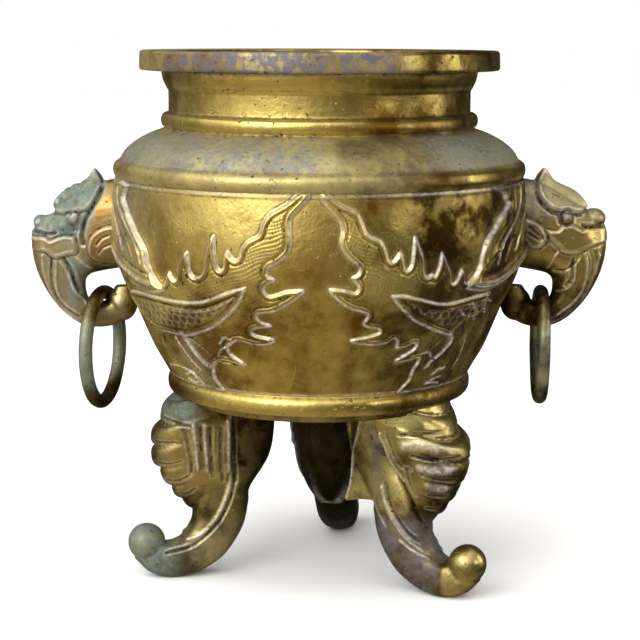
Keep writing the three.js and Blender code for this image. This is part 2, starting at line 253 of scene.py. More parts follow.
def closed_loft(rings):
    """Points and faces of a body through rings, each a closed loop with as many points."""
    rings = np.asarray(rings, float)
    count, around = rings.shape[:2]
    points = np.vstack([rings.reshape(-1, 3), rings[0].mean(0), rings[-1].mean(0)])
    faces = grid_faces(count, around)
    first, last = count * around, (count - 1) * around
    for j in range(around):
        on = (j + 1) % around
        faces.append((first, on, j))
        faces.append((first + 1, last + j, last + on))
    return points, faces


def paint(piece, name, values):
    """Stores a number for each vertex, which the piece's material can read by name."""
    layer = piece.data.attributes.new(name, "FLOAT", "POINT")
    layer.data.foreach_set("value", np.clip(values, 0, 1).astype(np.float32))


# %% [markdown]
# ## The turned vessel
#
# The pot was moulded from a turned pattern, so a profile swept round the axis gives its rim, neck,
# shoulder, belt and foot. The profile is written as corners with a rounding each, because no edge of a sand
# casting is sharp. The bowl's own skin carries the relief and is made in the next step; here the wall
# behind it stands 1.5 mm back.

# %% Vessel profile
# Heights in mm at which one moulding ends and the next begins, from the underside to the rim's top.
BASE, BEAD, BOWL, BELT, DOME = 78, 81.3, 89.2, 172, 179.1
NECK, BAND, COVE, RIM, TOP = 192.5, 199, 209.5, 216.3, 224.5
WALL_BACK, WALL_INSIDE = 1.5, 3.2  # mm from the bowl's face to the turned wall's outside and to its inside
bowl_knots = [(89.2, 62.5), (95, 65.8), (101.6, 69.5), (110, 73.1), (119.8, 77.1), (127, 80.6), (134.7, 83.5),
              (143, 85.0), (153, 85.6), (163, 85.2), (172, 84.4)]
bowl_curve = through(bowl_knots, 12)


def bowl_radius(z):
    """The bowl's radius at a height, without its relief."""
    return np.interp(z, bowl_curve[:, 0], bowl_curve[:, 1])


def half_round(low, high, inner, outer):
    """A bead between two heights, swelling from the inner radius to the outer one."""
    t = np.linspace(0.04, 0.96, 9)
    swell = (1 - np.abs(2 * t - 1) ** 2.4) ** (1 / 2.4)
    return [(inner + (outer - inner) * s, low + (high - low) * u) for s, u in zip(swell, t)]


def soften(corners, reach):
    """Cuts each corner of a profile with a small curve."""
    made = [corners[0]]
    for before, corner, after in zip(corners, corners[1:], corners[2:]):
        a, c, b = (np.array(p, float) for p in (before, corner, after))
        first = c + (a - c) * min(0.45, reach / max(np.linalg.norm(a - c), 1e-6))
        last = c + (b - c) * min(0.45, reach / max(np.linalg.norm(b - c), 1e-6))
        made += [tuple(first), tuple((first + 2 * c + last) / 4), tuple(last)]
    return made + [corners[-1]]


dome = through([(84.2, DOME), (83.4, 180.4), (82.1, 182.6), (79.8, 185), (76.4, 187.5), (71.2, 190.2),
                (66, 192)], 3)
wall = [(bowl_radius(z) - WALL_BACK, z) for z in np.linspace(90.5, 171, 12)]
inner_wall = [(bowl_radius(z) - WALL_INSIDE, z) for z in np.linspace(166, 96, 9)]
outside = (
    soften([(0, BASE), (57.6, BASE), (58, BEAD), (61.6, BEAD + 0.1), (62.4, BEAD + 0.2)], 0.6)
    + half_round(BEAD, BOWL, 62, 64.7)
    + wall
    + half_round(BELT, DOME, 83.6, 86.7)
    + [tuple(p) for p in dome[1:]]
    + half_round(NECK, BAND, 63.5, 66.5)
    + soften([(63.6, BAND - 0.1), (63.3, BAND + 0.5), (63.3, 208.3), (64, 208.8), (64.3, 209.8), (65.3, 211.6),
              (65.9, 214), (66.2, RIM), (74.7, RIM + 0.1), (75.3, RIM + 0.8), (75.1, TOP - 0.8), (74.3, TOP),
              (60.2, TOP - 0.2), (59.5, TOP - 1), (59.5, 194), (60.5, 190.5)], 0.7)
)
inside_profile = (
    [tuple(p) for p in through([(62.5, 188.6), (70, 185.8), (76, 181.5), (79.5, 176), (81.4, 170)], 3)]
    + inner_wall
    + [tuple(p) for p in through([(62.6, 91), (60.3, 86.5), (57.5, 83.2), (53, 81.7), (40, 81.5)], 3)]
    + [(0, 81.5)]
)
profile = outside + inside_profile
print("profile points:", len(profile))


# %% Sweep the profile
def turned(name, profile, columns):
    """A closed body swept from a profile that starts and ends on the axis."""
    radius, height = np.array(profile[1:-1], float).T[:, :, None]
    angle = np.linspace(0, 2 * math.pi, columns, endpoint=False)
    rings = np.stack([radius * np.cos(angle), radius * np.sin(angle), height + 0 * angle], -1)
    return mesh_object(name, *closed_loft(rings))


vessel = turned("vessel", profile, 280)
print("vessel triangles:", sum(len(p.vertices) - 2 for p in vessel.data.polygons))

# %% [markdown]
# ## The relief
#
# The bowl shows two winged flames, one on each side of a plain panel, and a raised plate behind each
# handle. A sculptor would carve them; here they are drawn. Every outline is a list of (degrees from the
# front's middle, height in mm). The distance from a point of the bowl to an outline tells how high the
# metal stands there: it steps up at the edge, has a raised rim just inside and a groove behind that, as the
# chaser's punch left them. Left and right were cut by hand and differ a little, so each has its own
# outline.

# %% Outlines on the right of the front's middle
right_inner = [
    (0.3, 172.5), (1.2, 169.5), (3.2, 166), (5.2, 162.5), (6.0, 158.5), (5.6, 154.5), (6.4, 150.8),
    (8.4, 147.4), (10.4, 144.6), (10.2, 141.8), (8.6, 140.2), (9.6, 138.6), (10.5, 136.6), (9.6, 134.2),
    (7.0, 135.2), (2.9, 135.9), (4.2, 133.2), (6.2, 130.4), (9.0, 128.0), (12.4, 126.4), (13.8, 124.6),
    (12.6, 121.3), (15.0, 119.9), (17.4, 119.2), (17.9, 117.4), (15.0, 116.0), (9.4, 114.4), (14.5, 112.7),
    (20.5, 112.9), (22.6, 114.9), (24.2, 113.4), (24.5, 110.6), (27.3, 110.9), (29.6, 112.2), (31.4, 111.2),
    (30.2, 108.6), (25.0, 104.9), (28.4, 104.4), (33.0, 105.4), (33.7, 103.6), (32.6, 100.0), (33.0, 95.5),
    (35.2, 88.0)]
right_upper = [
    (47.9, 141.5), (47.0, 138.6), (45.6, 136.2), (44.2, 134.9), (42.5, 135.6), (41.9, 138.2), (40.8, 140.9),
    (39.8, 137.2), (38.6, 135.3), (37.3, 136.4), (36.6, 140.2), (34.9, 144.4), (33.5, 148.2), (33.1, 144.5),
    (32.5, 141.2), (31.7, 139.2), (30.8, 140.1), (29.1, 139.2), (28.0, 141.5), (27.5, 147.2), (26.4, 151.0),
    (25.2, 155.2), (24.8, 149.5), (24.4, 144.6), (23.4, 142.5), (22.3, 143.6), (21.8, 146.6), (21.1, 149.4),
    (20.1, 147.4), (19.0, 145.9), (17.8, 147.0), (17.0, 150.4), (15.6, 154.0), (12.2, 156.7), (10.9, 161.3),
    (9.2, 165.2), (4.8, 168.6), (1.7, 172.5)]
right_plate = [
    (44.0, 133.1), (49, 131.6), (54, 131.2), (59, 132.2), (65, 134.8), (71, 137.2), (80, 140.5), (100, 143),
    (120, 156), (120, 172.5), (58.6, 172.5), (60.3, 168.8), (60.2, 166.4), (62.2, 164.8), (59.6, 162.2),
    (54.5, 157), (49.8, 151.2), (48.2, 146), (47.4, 141.0), (46.0, 137.4), (44.2, 135.2)]
right_pod = [
    (19.4, 132.9), (23.2, 132.4), (28.6, 130.2), (33.4, 128.3), (37.8, 127.5), (42.2, 127.9), (46.9, 128.7),
    (51.6, 129.0), (55.5, 129.2), (57.5, 125.5), (55.0, 121.0), (51.0, 120.3), (48.7, 119.4), (45.3, 116.1),
    (43.1, 113.8), (40.7, 114.6), (36.0, 116.8), (31.6, 119.5), (27.6, 122.2), (24.5, 125.4), (21.6, 129.2)]

# %% Outlines on the left
left_inner = [
    (2.4, 172.5), (3.4, 169.5), (5.6, 166.2), (7.2, 163.0), (7.4, 158.0), (7.3, 152.5), (8.2, 149.2),
    (10.4, 146.4), (12.6, 144.6), (13.4, 142.4), (13.0, 140.4), (11.4, 139.2), (12.8, 138.2), (14.2, 136.8),
    (14.3, 134.2), (12.8, 132.8), (10.4, 133.8), (8.2, 134.9), (4.0, 135.3), (5.6, 132.8), (8.6, 129.6),
    (12.6, 126.6), (16.4, 125.8), (17.6, 123.6), (16.4, 121.6), (13.8, 120.3), (18.2, 119.2), (20.2, 117.4),
    (18.6, 115.8), (13.4, 114.5), (15.6, 112.6), (20.0, 112.2), (24.0, 113.6), (26.8, 112.6), (28.8, 110.8),
    (29.0, 107.6), (27.0, 105.4), (24.2, 103.0), (28.5, 103.8), (32.6, 104.2), (35.6, 102.4), (37.8, 98.6),
    (38.8, 94.5), (41.5, 88.0)]
left_upper = [
    (52.6, 141.0), (51.8, 136.8), (50.4, 133.6), (48.6, 132.6), (46.6, 133.8), (45.0, 136.6), (43.9, 139.0),
    (42.8, 136.6), (41.6, 135.8), (40.6, 137.6), (40.0, 141.2), (38.4, 145.0), (36.6, 148.0), (36.2, 144.5),
    (35.8, 140.4), (34.6, 138.2), (33.0, 138.6), (31.6, 140.0), (30.8, 143.0), (30.3, 147.2), (29.2, 151.6),
    (28.0, 155.2), (27.8, 148.5), (27.2, 143.4), (26.1, 141.8), (25.1, 143.0), (24.8, 146.2), (24.1, 149.4),
    (23.0, 147.4), (21.8, 146.2), (20.5, 147.4), (19.9, 150.6), (18.2, 153.8), (15.2, 156.4), (14.3, 160.6),
    (12.4, 164.5), (8.4, 168.0), (4.6, 172.5)]
left_plate = [
    (47.5, 131.4), (53, 129.8), (58, 129.6), (63, 130.6), (69, 133.4), (75, 136.5), (82, 140.0), (100, 143),
    (120, 156), (120, 172.5), (69, 172.5), (67.4, 166), (63.6, 160.6), (60.2, 156.4), (56.0, 151.0),
    (53.2, 146.5), (52.4, 141.0), (51.0, 136.4), (49.0, 133.0)]
left_pod = [
    (19.2, 135.8), (25.5, 132.8), (31.2, 129.4), (36.5, 127.8), (43.5, 127.4), (50.0, 127.5), (60.0, 127.7),
    (70.0, 126.6), (74.0, 124.0), (71.0, 119.5), (67.0, 115.2), (59.0, 112.8), (52.9, 112.8), (48.5, 112.9),
    (43.6, 113.0), (38.7, 114.8), (32.5, 118.0), (27.4, 122.4), (22.2, 128.9)]

# %% [markdown]
# The lines inside the outlines are single strokes of the chasing tool: a stroke is (points, width at its
# start, width at its end, height), and a stroke of negative height is a groove.

# %% Chased strokes
right_strokes = [
    ([(23.6, 129.0), (25.0, 128.3), (26.7, 126.1), (27.7, 127.4), (29.3, 126.5), (31.1, 124.7),
      (32.0, 126.6), (34.0, 125.8), (35.8, 123.6), (36.8, 125.5), (38.6, 124.8), (40.4, 123.2),
      (42.0, 124.5)], 0.5, 0.4, -0.6),
    ([(47.6, 126.7), (49.1, 124.3), (52.6, 122.0)], 0.5, 0.35, 0.8),
    ([(53.9, 126.2), (54.9, 122.8), (58.2, 120.4)], 0.5, 0.35, 0.8),
    ([(43.6, 123.9), (45.3, 121.8), (46.9, 120.8)], 0.45, 0.35, 0.7),
    ([(48.7, 121.9), (48.4, 120.5), (49.5, 118.7)], 0.45, 0.35, 0.7),
    ([(42.2, 114.2), (43.4, 113.4), (44.8, 111.1), (43.5, 108.5), (41.5, 105.6), (38.6, 103.2),
      (37.1, 100.5)], 1.0, 0.6, 1.2),
    ([(41.2, 113.4), (39.5, 111.3), (37.4, 109.2), (36.0, 107.2)], 0.5, 0.4, -0.8),
    ([(36.2, 107.7), (37.1, 106.3), (38.1, 104.7)], 0.45, 0.4, 0.8),
    ([(34.0, 106.8), (35.3, 107.1), (36.5, 107.2)], 0.45, 0.4, 0.8),
    ([(51.5, 120.6), (53.1, 118.5), (55.0, 117.8)], 0.45, 0.35, 0.7),
    ([(53.1, 129.2), (55.6, 126.3), (57.6, 125.5)], 0.5, 0.35, 0.8),
    ([(42.2, 96.9), (43.6, 98.2), (46.8, 98.7)], 0.8, 0.5, 0.9),
    ([(42.5, 93.9), (45.2, 94.5), (47.3, 94.8)], 0.5, 0.4, 0.7),
    ([(40.6, 92.7), (43.6, 92.7), (47.4, 91.8)], 0.6, 0.4, 0.8),
    ([(48.6, 117.0), (50.6, 112.0), (49.2, 104.5), (49.8, 94.0)], 1.0, 0.8, -0.6),
    ([(54.5, 119.0), (56.6, 110.0), (54.2, 102.0), (55.6, 92.0)], 1.0, 0.8, -0.6),
    ([(61.0, 126.0), (63.0, 115.0), (60.0, 105.0), (62.0, 92.0)], 1.2, 1.0, -0.6),
    ([(52.0, 112.0), (53.0, 105.0), (52.2, 97.0)], 0.9, 0.5, 0.5)]
left_strokes = [
    ([(20.7, 134.1), (24.6, 131.3), (28.7, 128.7), (33.2, 126.4), (38.7, 125.1), (44.4, 125.0), (50.7, 125.5),
      (60.0, 125.7), (69.0, 124.8)], 0.45, 0.5, -0.7),
    ([(22.8, 131.4), (26.9, 127.9), (30.6, 125.6), (36.1, 123.8), (43.4, 123.2), (52.2, 122.9)],
     0.4, 0.3, 0.5),
    ([(45.2, 112.4), (43.2, 106.7), (39.7, 101.3), (37.0, 100.4)], 1.7, 1.2, 0.6),
    ([(51.4, 110.8), (48.9, 103.0), (44.3, 95.9)], 0.5, 0.45, -0.8),
    ([(49.9, 111.0), (47.2, 104.0), (43.2, 97.6)], 0.5, 0.4, 0.7),
    ([(43.4, 112.4), (40.3, 109.9), (37.0, 107.0), (33.8, 103.5), (30.0, 103.0)], 0.5, 0.4, -0.8),
    ([(31.1, 111.3), (29.1, 113.7), (26.5, 112.8), (28.4, 110.4), (31.0, 108.8), (33.2, 105.8)],
     0.55, 0.4, 0.9),
    ([(65.0, 96.0), (58.0, 97.2), (52.9, 96.9), (48.0, 95.2), (45.5, 91.1)], 0.6, 0.45, 0.8),
    ([(53.9, 94.0), (48.7, 95.9), (47.1, 93.1), (49.9, 90.9), (54.1, 92.1)], 0.6, 0.45, 0.8),
    ([(7.4, 105.3), (7.3, 102.3), (8.3, 98.6), (10.4, 92.6)], 0.3, 0.3, 0.15),
    ([(58.0, 111.0), (60.0, 104.0), (58.0, 99.0)], 1.2, 0.8, -0.5)]
plate_strokes = [
    ([(45.6, 134.4), (51, 133.2), (57, 133.8), (63, 136.0), (69, 138.4), (78, 142), (90, 144.6)],
     1.5, 1.2, 0.9),
    ([(49, 137.0), (56, 137.6), (62, 139.8), (69, 142.6), (78, 146), (90, 149)], 0.7, 0.7, -0.9),
    ([(50.6, 139), (51.4, 146.5), (54.5, 151.5), (60, 157.6), (65, 162), (66, 170)], 0.7, 0.7, -0.8),
    ([(54.6, 141), (55.6, 147), (59.5, 152.5), (65.5, 158.5), (70, 164), (71, 171)], 0.7, 0.5, 0.7),
    ([(59, 142.5), (61, 148), (66, 154), (72, 160), (76, 168)], 0.7, 0.6, -0.8),
    ([(65, 145), (68, 151), (74, 158), (80, 166)], 0.7, 0.5, 0.7),
    ([(72, 148.5), (76, 154), (83, 162)], 0.7, 0.6, -0.7)]

# %% [markdown]
# The skin of the bowl is a fine grid, closer together in front, where the eye looks, than at the back. The
# heights are worked out for the whole grid at once with numpy, so that this takes seconds and not an hour.

# %% Heights over the bowl
ACROSS = math.radians(1) * 83.5  # mm along the bowl for one degree
FAR = 96  # degrees: past the end of a quarter, so that a flame has no edge there


def region(u, z, outline, height, rim, groove):
    """Height, edge and groove of a raised area with a chased border."""
    path = through([(a * ACROSS, h) for a, h in outline + outline[:1]], 3)[:-1]
    s = depth_inside(u, z, path)
    rise = step(s, -0.7, 0.6)
    lip, cut = bump(s - 1.05, 0.45), bump(s - 1.95, 0.42)
    slope = bump(s + 0.05, 0.5)
    return s, height * rise + rim * lip - groove * cut, slope, np.maximum(cut, 0.9 * bump(s + 1.1, 0.36))


def stroke_heights(u, z, strokes):
    """The sum of many strokes, their raised parts and their grooves."""
    height, raised, cut = np.zeros(u.shape), np.zeros(u.shape), np.zeros(u.shape)
    for points, first, last, tall in strokes:
        path = through([(a * ACROSS, h) for a, h in points], 6)
        d, along = to_path(u, z, path)
        ridge = bump(d, first + (last - first) * along)
        height += tall * ridge
        if tall > 0:
            raised = np.maximum(raised, min(1.0, tall / 0.75) * ridge)
        else:
            cut = np.maximum(cut, ridge)
    return height, raised, cut


def scales(u, z):
    """Rows of overlapping fish scales, as the chaser punched them."""
    pitch, row = 4.4, 3.0
    ridge = np.zeros(u.shape)
    for k in (-1, 0, 1):
        line = np.round(z / row) + k
        x = u + (line % 2) * pitch / 2
        dx = x - np.round(x / pitch) * pitch
        dz = z - line * row
        d = np.hypot(dx, dz * 1.1)
        ridge = np.maximum(ridge, bump(d - 2.1, 0.45) * (dz < 0.4))
    return ridge


def chasing(u, z):
    """Short matting strokes that cross each other, about 1.8 mm apart."""
    a = np.sin(3.4 * u + 1.3 * z + 1.6 * np.sin(0.55 * z))
    b = np.sin(-1.9 * u + 2.9 * z + 1.4 * np.sin(0.5 * u))
    return a * b


def quarter(u, z, inner, upper, plate, pod, strokes):
    """One flame with its plate: its height, and masks of painted highlight, grime with painted shade, raised
    metal, matting.
    """
    outline = inner + [(FAR, 88.0), (FAR, 150.0), (60, 150.0)] + upper
    s, field, slope, cut = region(u, z, outline, height=1.15, rim=0.35, groove=0.55)
    sp, pod_height, pod_slope, pod_cut = region(u, z, pod, height=0.9, rim=0.4, groove=0.7)
    se, plate_height, plate_slope, plate_cut = region(u, z, plate, height=2.0, rim=0.35, groove=0.6)
    drawn, raised, grooves = stroke_heights(u, z, strokes)
    plate_drawn, plate_raised, plate_grooves = stroke_heights(u, z, plate_strokes)
    in_field, in_pod, in_plate = step(s, 1.6, 2.8), step(sp, 2.6, 3.6), step(se, 0.0, 1.5)
    off_plate = 1 - step(se, -1.2, 0.2)
    texture = chasing(u, z) * in_field * (1 - step(sp, -1, 1.5)) * off_plate
    cells = scales(u, z) * in_pod
    height = (field + drawn) * off_plate + np.maximum(0, field) * (1 - off_plate) * 0.3
    height += pod_height + 0.18 * texture + 0.4 * cells
    height += plate_height + plate_drawn * in_plate
    # A painted pale highlight on the slopes of field, pod and plate, on raised strokes and on the scales.
    pale_highlight = np.maximum.reduce([slope * off_plate, pod_slope * (s > 0), plate_slope * 0.8, raised * off_plate,
                              plate_raised * in_plate * 0.7, 0.4 * cells])
    # Grime with painted shade in the grooves, in the matting and between the scales.
    grime_and_shade = np.maximum.reduce([cut * off_plate, pod_cut, plate_cut, grooves, plate_grooves * in_plate,
                              0.6 * step(-texture, 0.15, 0.6), 0.75 * in_pod * (1 - 1.3 * cells)])
    standing = np.maximum(step(s, -0.3, 0.3) * off_plate, step(se, -0.3, 0.3))
    return height, pale_highlight, grime_and_shade, standing, in_field * off_plate


# %% [markdown]
# The narrow valleys between two tongues of flame get a painted pale highlight, which stands in for the bright
# reflection of their sloped walls. A valley is a low place with much high metal round it, so we blur the map
# of what stands up and look where the blur is strong but the metal is low.


# %% The bowl's skin
SKIN = 1.9  # mm from the bowl's face to the back of its skin, a little inside the turned wall


def blurred(values, spans):
    """The values averaged over a soft window, as wide as the two spans say, in rows and columns."""
    for axis, span in enumerate(spans):
        reach = int(3 * span)
        weights = bump(np.arange(-reach, reach + 1), span)
        weights = weights / weights.sum()
        padded = np.pad(values, [(reach, reach) if k == axis else (0, 0) for k in (0, 1)], mode="edge")
        count = values.shape[axis]
        values = sum(w * np.take(padded, range(k, k + count), axis) for k, w in enumerate(weights))
    return values


def skin(degrees, rows, pieces):
    """Closed pieces of the bowl's skin over these angles and heights, with their masks."""
    A, Z = np.meshgrid(degrees, rows)
    turn = np.radians(-90 + A)
    A = np.where(A > 180, A - 360, A)
    height, pale_highlight, grime_and_shade, standing, chased = (np.zeros(A.shape) for _ in range(5))
    for part, angle, drawing in (
        ((A >= 0) & (A <= 90), A, (right_inner, right_upper, right_plate, right_pod, right_strokes)),
        ((A < 0) & (A >= -90), -A, (left_inner, left_upper, left_plate, left_pod, left_strokes)),
        (A > 90, 180 - A, (right_inner, right_upper, right_plate, right_pod, right_strokes[5:11])),
        (A < -90, 180 + A, (left_inner, left_upper, right_plate, left_pod, left_strokes[3:7])),
    ):
        if part.any():
            found = quarter(angle[part] * ACROSS, Z[part], *drawing)
            for whole, piece in zip((height, pale_highlight, grime_and_shade, standing, chased), found):
                whole[part] = piece
    row_mm, column_mm = rows[1] - rows[0], (degrees[1] - degrees[0]) * ACROSS
    round_about = blurred(standing, (1.5 / row_mm, 1.5 / column_mm))
    # The valleys get a painted pale highlight.
    valley = step(round_about, 0.5, 0.66) * (1 - standing)
    pale_highlight = np.maximum(pale_highlight * 0.85, valley)
    # Painted pale highlight lines along the lower bead and under the belt, and a dark line of grime with
    # painted shade in the crease below the belt.
    pale_highlight = np.maximum(pale_highlight, 0.6 * bump(Z - BOWL - 0.9, 0.7) + 0.5 * bump(Z - BELT + 0.8, 0.5))
    grime_and_shade = np.maximum(grime_and_shade * (1 - valley), 0.8 * bump(Z - BELT + 2.0, 0.6))
    height += (0.10 * np.sin(0.075 * A + 0.11 * Z) + 0.07 * np.sin(0.13 * A - 0.16 * Z + 1)
               + 0.04 * np.sin(0.41 * A + 0.23 * Z + 2))
    fade = step(Z, BOWL - 0.6, BOWL + 0.8) * (1 - step(Z, BELT - 0.6, BELT + 0.6) * 0.4)
    radius = bowl_radius(Z) + height * fade
    behind = bowl_radius(Z) - SKIN
    outer, inner = (np.stack([r * np.cos(turn), r * np.sin(turn), Z], -1) for r in (radius, behind))
    rings = np.concatenate([outer, inner[[-1, 0]]])
    masks = {"pale_highlight": pale_highlight, "grime_and_shade": np.maximum(grime_and_shade, 0.2 * chased)}
    made = []
    for name, first, last in pieces:
        own = rings[:, first:last]
        height_count, count = own.shape[:2]
        faces = grid_faces(height_count, count, close_rows=True, close_columns=False)
        ends = [[k * count for k in range(height_count)],
                [k * count + count - 1 for k in reversed(range(height_count))]]
        made.append(mesh_object(name, own.reshape(-1, 3), faces + ends))
        made[-1].data.set_sharp_from_angle(angle=math.radians(80))
        hidden = np.zeros((2, count))
        for mask, values in masks.items():
            paint(made[-1], mask, np.concatenate([values[:, first:last], hidden]).ravel())
        print(name, "triangles:", 2 * len(faces))
    return made


SIDE = 82  # degrees: where the fine front meets the coarser back
bottom_edge, top_edge = BOWL - 0.6, BELT + 0.6
front_columns, back_columns = 761, 270
middle_column = front_columns // 2
bowl_skins = (skin(np.linspace(-SIDE, SIDE, front_columns), np.linspace(bottom_edge, top_edge, 200),
                   [("bowl_left", 0, middle_column + 1), ("bowl_right", middle_column, front_columns)])
              + skin(np.linspace(SIDE, 360 - SIDE, back_columns), np.linspace(bottom_edge, top_edge, 90),
                     [("bowl_back", 0, back_columns)]))

# %% [markdown]
# ## Legs and handles: loft, fuse, chase
#
# A cast leg is one lump of metal, but a pattern maker builds its wooden pattern from parts glued together.
# We do the same: each part is lofted through stations, a voxel remesh fuses the parts as the glue and the
# sand would, and a little smoothing leaves the soft corners of a casting. The chaser's lines are drawn on
# last, in side view, and cut into both sides at once.


# %% Lofting and fusing
def banded(stations, section):
    """A body between two edges. A station is (outer x, outer z, inner x, inner z, half width)."""
    half = through(section, 3)
    n = np.concatenate([half[:, 0], half[-2:0:-1, 0]])
    t = np.concatenate([half[:, 1], -half[-2:0:-1, 1]])
    rings = []
    for ox, oz, ix, iz, width in through(stations, 7):
        width = max(width, 0.3)
        rings.append(np.stack([(ox + ix) / 2 + n * (ox - ix) / 2, t * width,
                               (oz + iz) / 2 + n * (oz - iz) / 2], -1))
    return closed_loft(rings)


def egg(centre, radii, around=40):
    """A ball, stretched to these radii."""
    tilt = np.linspace(-math.pi / 2, math.pi / 2, around // 2)[1:-1, None]
    turn = np.linspace(0, 2 * math.pi, around, endpoint=False)
    ring = np.stack([np.cos(tilt) * np.cos(turn), np.cos(tilt) * np.sin(turn), np.sin(tilt) + 0 * turn], -1)
    return closed_loft(ring * radii + np.array(centre))


def fuse(name, bodies, voxel, rounds):
    """One skin over several bodies, with its corners softened."""
    points, faces, total = [], [], 0
    for body_points, body_faces in bodies:
        points.append(body_points)
        faces += [tuple(i + total for i in face) for face in body_faces]
        total += len(body_points)
    rough = mesh_object(name, np.vstack(points), faces)
    remesh = rough.modifiers.new("fuse", "REMESH")
    remesh.mode, remesh.voxel_size, remesh.use_smooth_shade = "VOXEL", voxel * MM, True
    soft = rough.modifiers.new("soften", "SMOOTH")
    soft.factor, soft.iterations = 0.5, rounds
    fused = bpy.data.meshes.new_from_object(rough.evaluated_get(bpy.context.evaluated_depsgraph_get()))
    rough.modifiers.clear()
    old, rough.data = rough.data, fused
    bpy.data.meshes.remove(old)
    fused.name = name
    return rough


def positions(mesh):
    """Vertex places in millimetres."""
    found = np.empty(len(mesh.vertices) * 3)
    mesh.vertices.foreach_get("co", found)
    return found.reshape(-1, 3) / MM


def normals(mesh):
    """Vertex normals."""
    found = np.empty(len(mesh.vertices) * 3)
    mesh.vertices.foreach_get("normal", found)
    return found.reshape(-1, 3)


def hollowness(mesh, rounds):
    """How far each vertex lies below the average of its neighbourhood, in millimetres."""
    edges = np.empty(len(mesh.edges) * 2, int)
    mesh.edges.foreach_get("vertices", edges)
    a, b = edges.reshape(-1, 2).T
    start = positions(mesh)
    count = np.bincount(edges, minlength=len(start))[:, None]
    now = start.copy()
    for _ in range(rounds):
        total = np.stack([np.bincount(a, now[b, k], len(start)) + np.bincount(b, now[a, k], len(start))
                          for k in range(3)], -1)
        now = total / count
    return np.sum((now - start) * normals(mesh), axis=1)


def set_positions(mesh, places):
    """Moves the vertices to these places in millimetres."""
    mesh.vertices.foreach_set("co", (places * MM).ravel())
    mesh.update()


def chase(piece, areas, strokes):
    """Raises areas and draws strokes on both sides, seen along Y. Returns a painted highlight mask and what is
    cut.
    """
    p, n = positions(piece.data), normals(piece.data)
    x, z = p[:, 0], p[:, 2]
    height, raised, cut = (np.zeros(len(p)) for _ in range(3))
    for outline, tall, rim in areas:
        s = depth_inside(x, z, through(outline + outline[:1], 4)[:-1])
        height += tall * step(s, -0.5, 0.5) + rim * bump(s - 0.9, 0.5) - rim * bump(s + 0.9, 0.4)
        raised, cut = np.maximum(raised, 0.7 * bump(s - 0.3, 0.4)), np.maximum(cut, bump(s + 0.8, 0.5))
    for points, first, last, tall in strokes:
        d, along = to_path(x, z, through(points, 6))
        ridge = bump(d, first + (last - first) * along)
        height += tall * ridge
        if tall > 0:
            raised = np.maximum(raised, min(1.0, tall / 0.7) * ridge)
        else:
            cut = np.maximum(cut, min(1.0, -tall / 0.7) * ridge)
            # A pale line along each groove's lip, for a painted highlight.
            raised = np.maximum(raised, 0.6 * bump(d - first - 0.45, 0.3))
    sideways = step(np.abs(n[:, 1]), 0.15, 0.6)
    set_positions(piece.data, p + n * (height * sideways)[:, None])
    return raised * sideways * (1 - cut), cut * sideways


# %% [markdown]
# ### The scroll legs
#
# Each leg is a scroll that runs down from the pot and curls forward under a ball, with a scalloped leaf as
# its knee. The leaf's lobes step in at each notch; nearer the back the leaf turns into upright flutes that
# end in points. Behind the right leg stands a flat web, and the rear leg has a broad apron.

# %% Leg parts
scroll_stations = [
    (19.5, 84, 46, 84, 9.8), (19.5, 66, 46, 68, 9.8), (22, 52, 46, 55, 9.8), (30.2, 38.6, 52, 42, 9.8),
    (31, 32, 54.8, 31, 9.7), (33.4, 21.2, 55.8, 23.5, 9.4), (40.4, 9.8, 59.8, 17, 8.9),
    (48.3, 3.6, 62.5, 15.4, 8.4), (57, 0.2, 64.4, 14.8, 8), (66, -0.6, 66.8, 14.8, 7.6),
    (74.5, 2.4, 69.5, 15.8, 7), (80.6, 8.4, 72.5, 17.8, 5)]
scroll_section = [(1, 0), (0.97, 0.34), (0.86, 0.64), (0.68, 0.86), (0.42, 0.97), (0.1, 1.0), (-0.25, 0.99),
                  (-0.55, 0.95), (-0.8, 0.84), (-0.94, 0.6), (-1, 0)]
lower_lobes = [(73.2, 72.2, 48.4), (70, 66.9, 40), (64.9, 62.4, 34.2), (60.5, 56.8, 29.3)]
usual_lobes = [(67.6, 69.2, 66.7), (72.2, 73.2, 57.8)]
upper_lobes = {"leg_left": usual_lobes, "leg_rear": usual_lobes,
               "leg_right": [(64, 68.4, 66.7), (71.6, 75.2, 58.4)]}
straight_back = [(39.4, 30), (41.9, 40.1), (40.9, 48.4), (39.9, 57.1), (40.2, 68.1), (40.4, 84)]
leaf_backs = {"leg_left": straight_back, "leg_rear": straight_back,
              "leg_right": [(54, 40), (51.5, 49.6), (48.5, 53.4), (46, 57.2), (44, 63.3), (41.5, 69.4),
                            (40, 84)]}


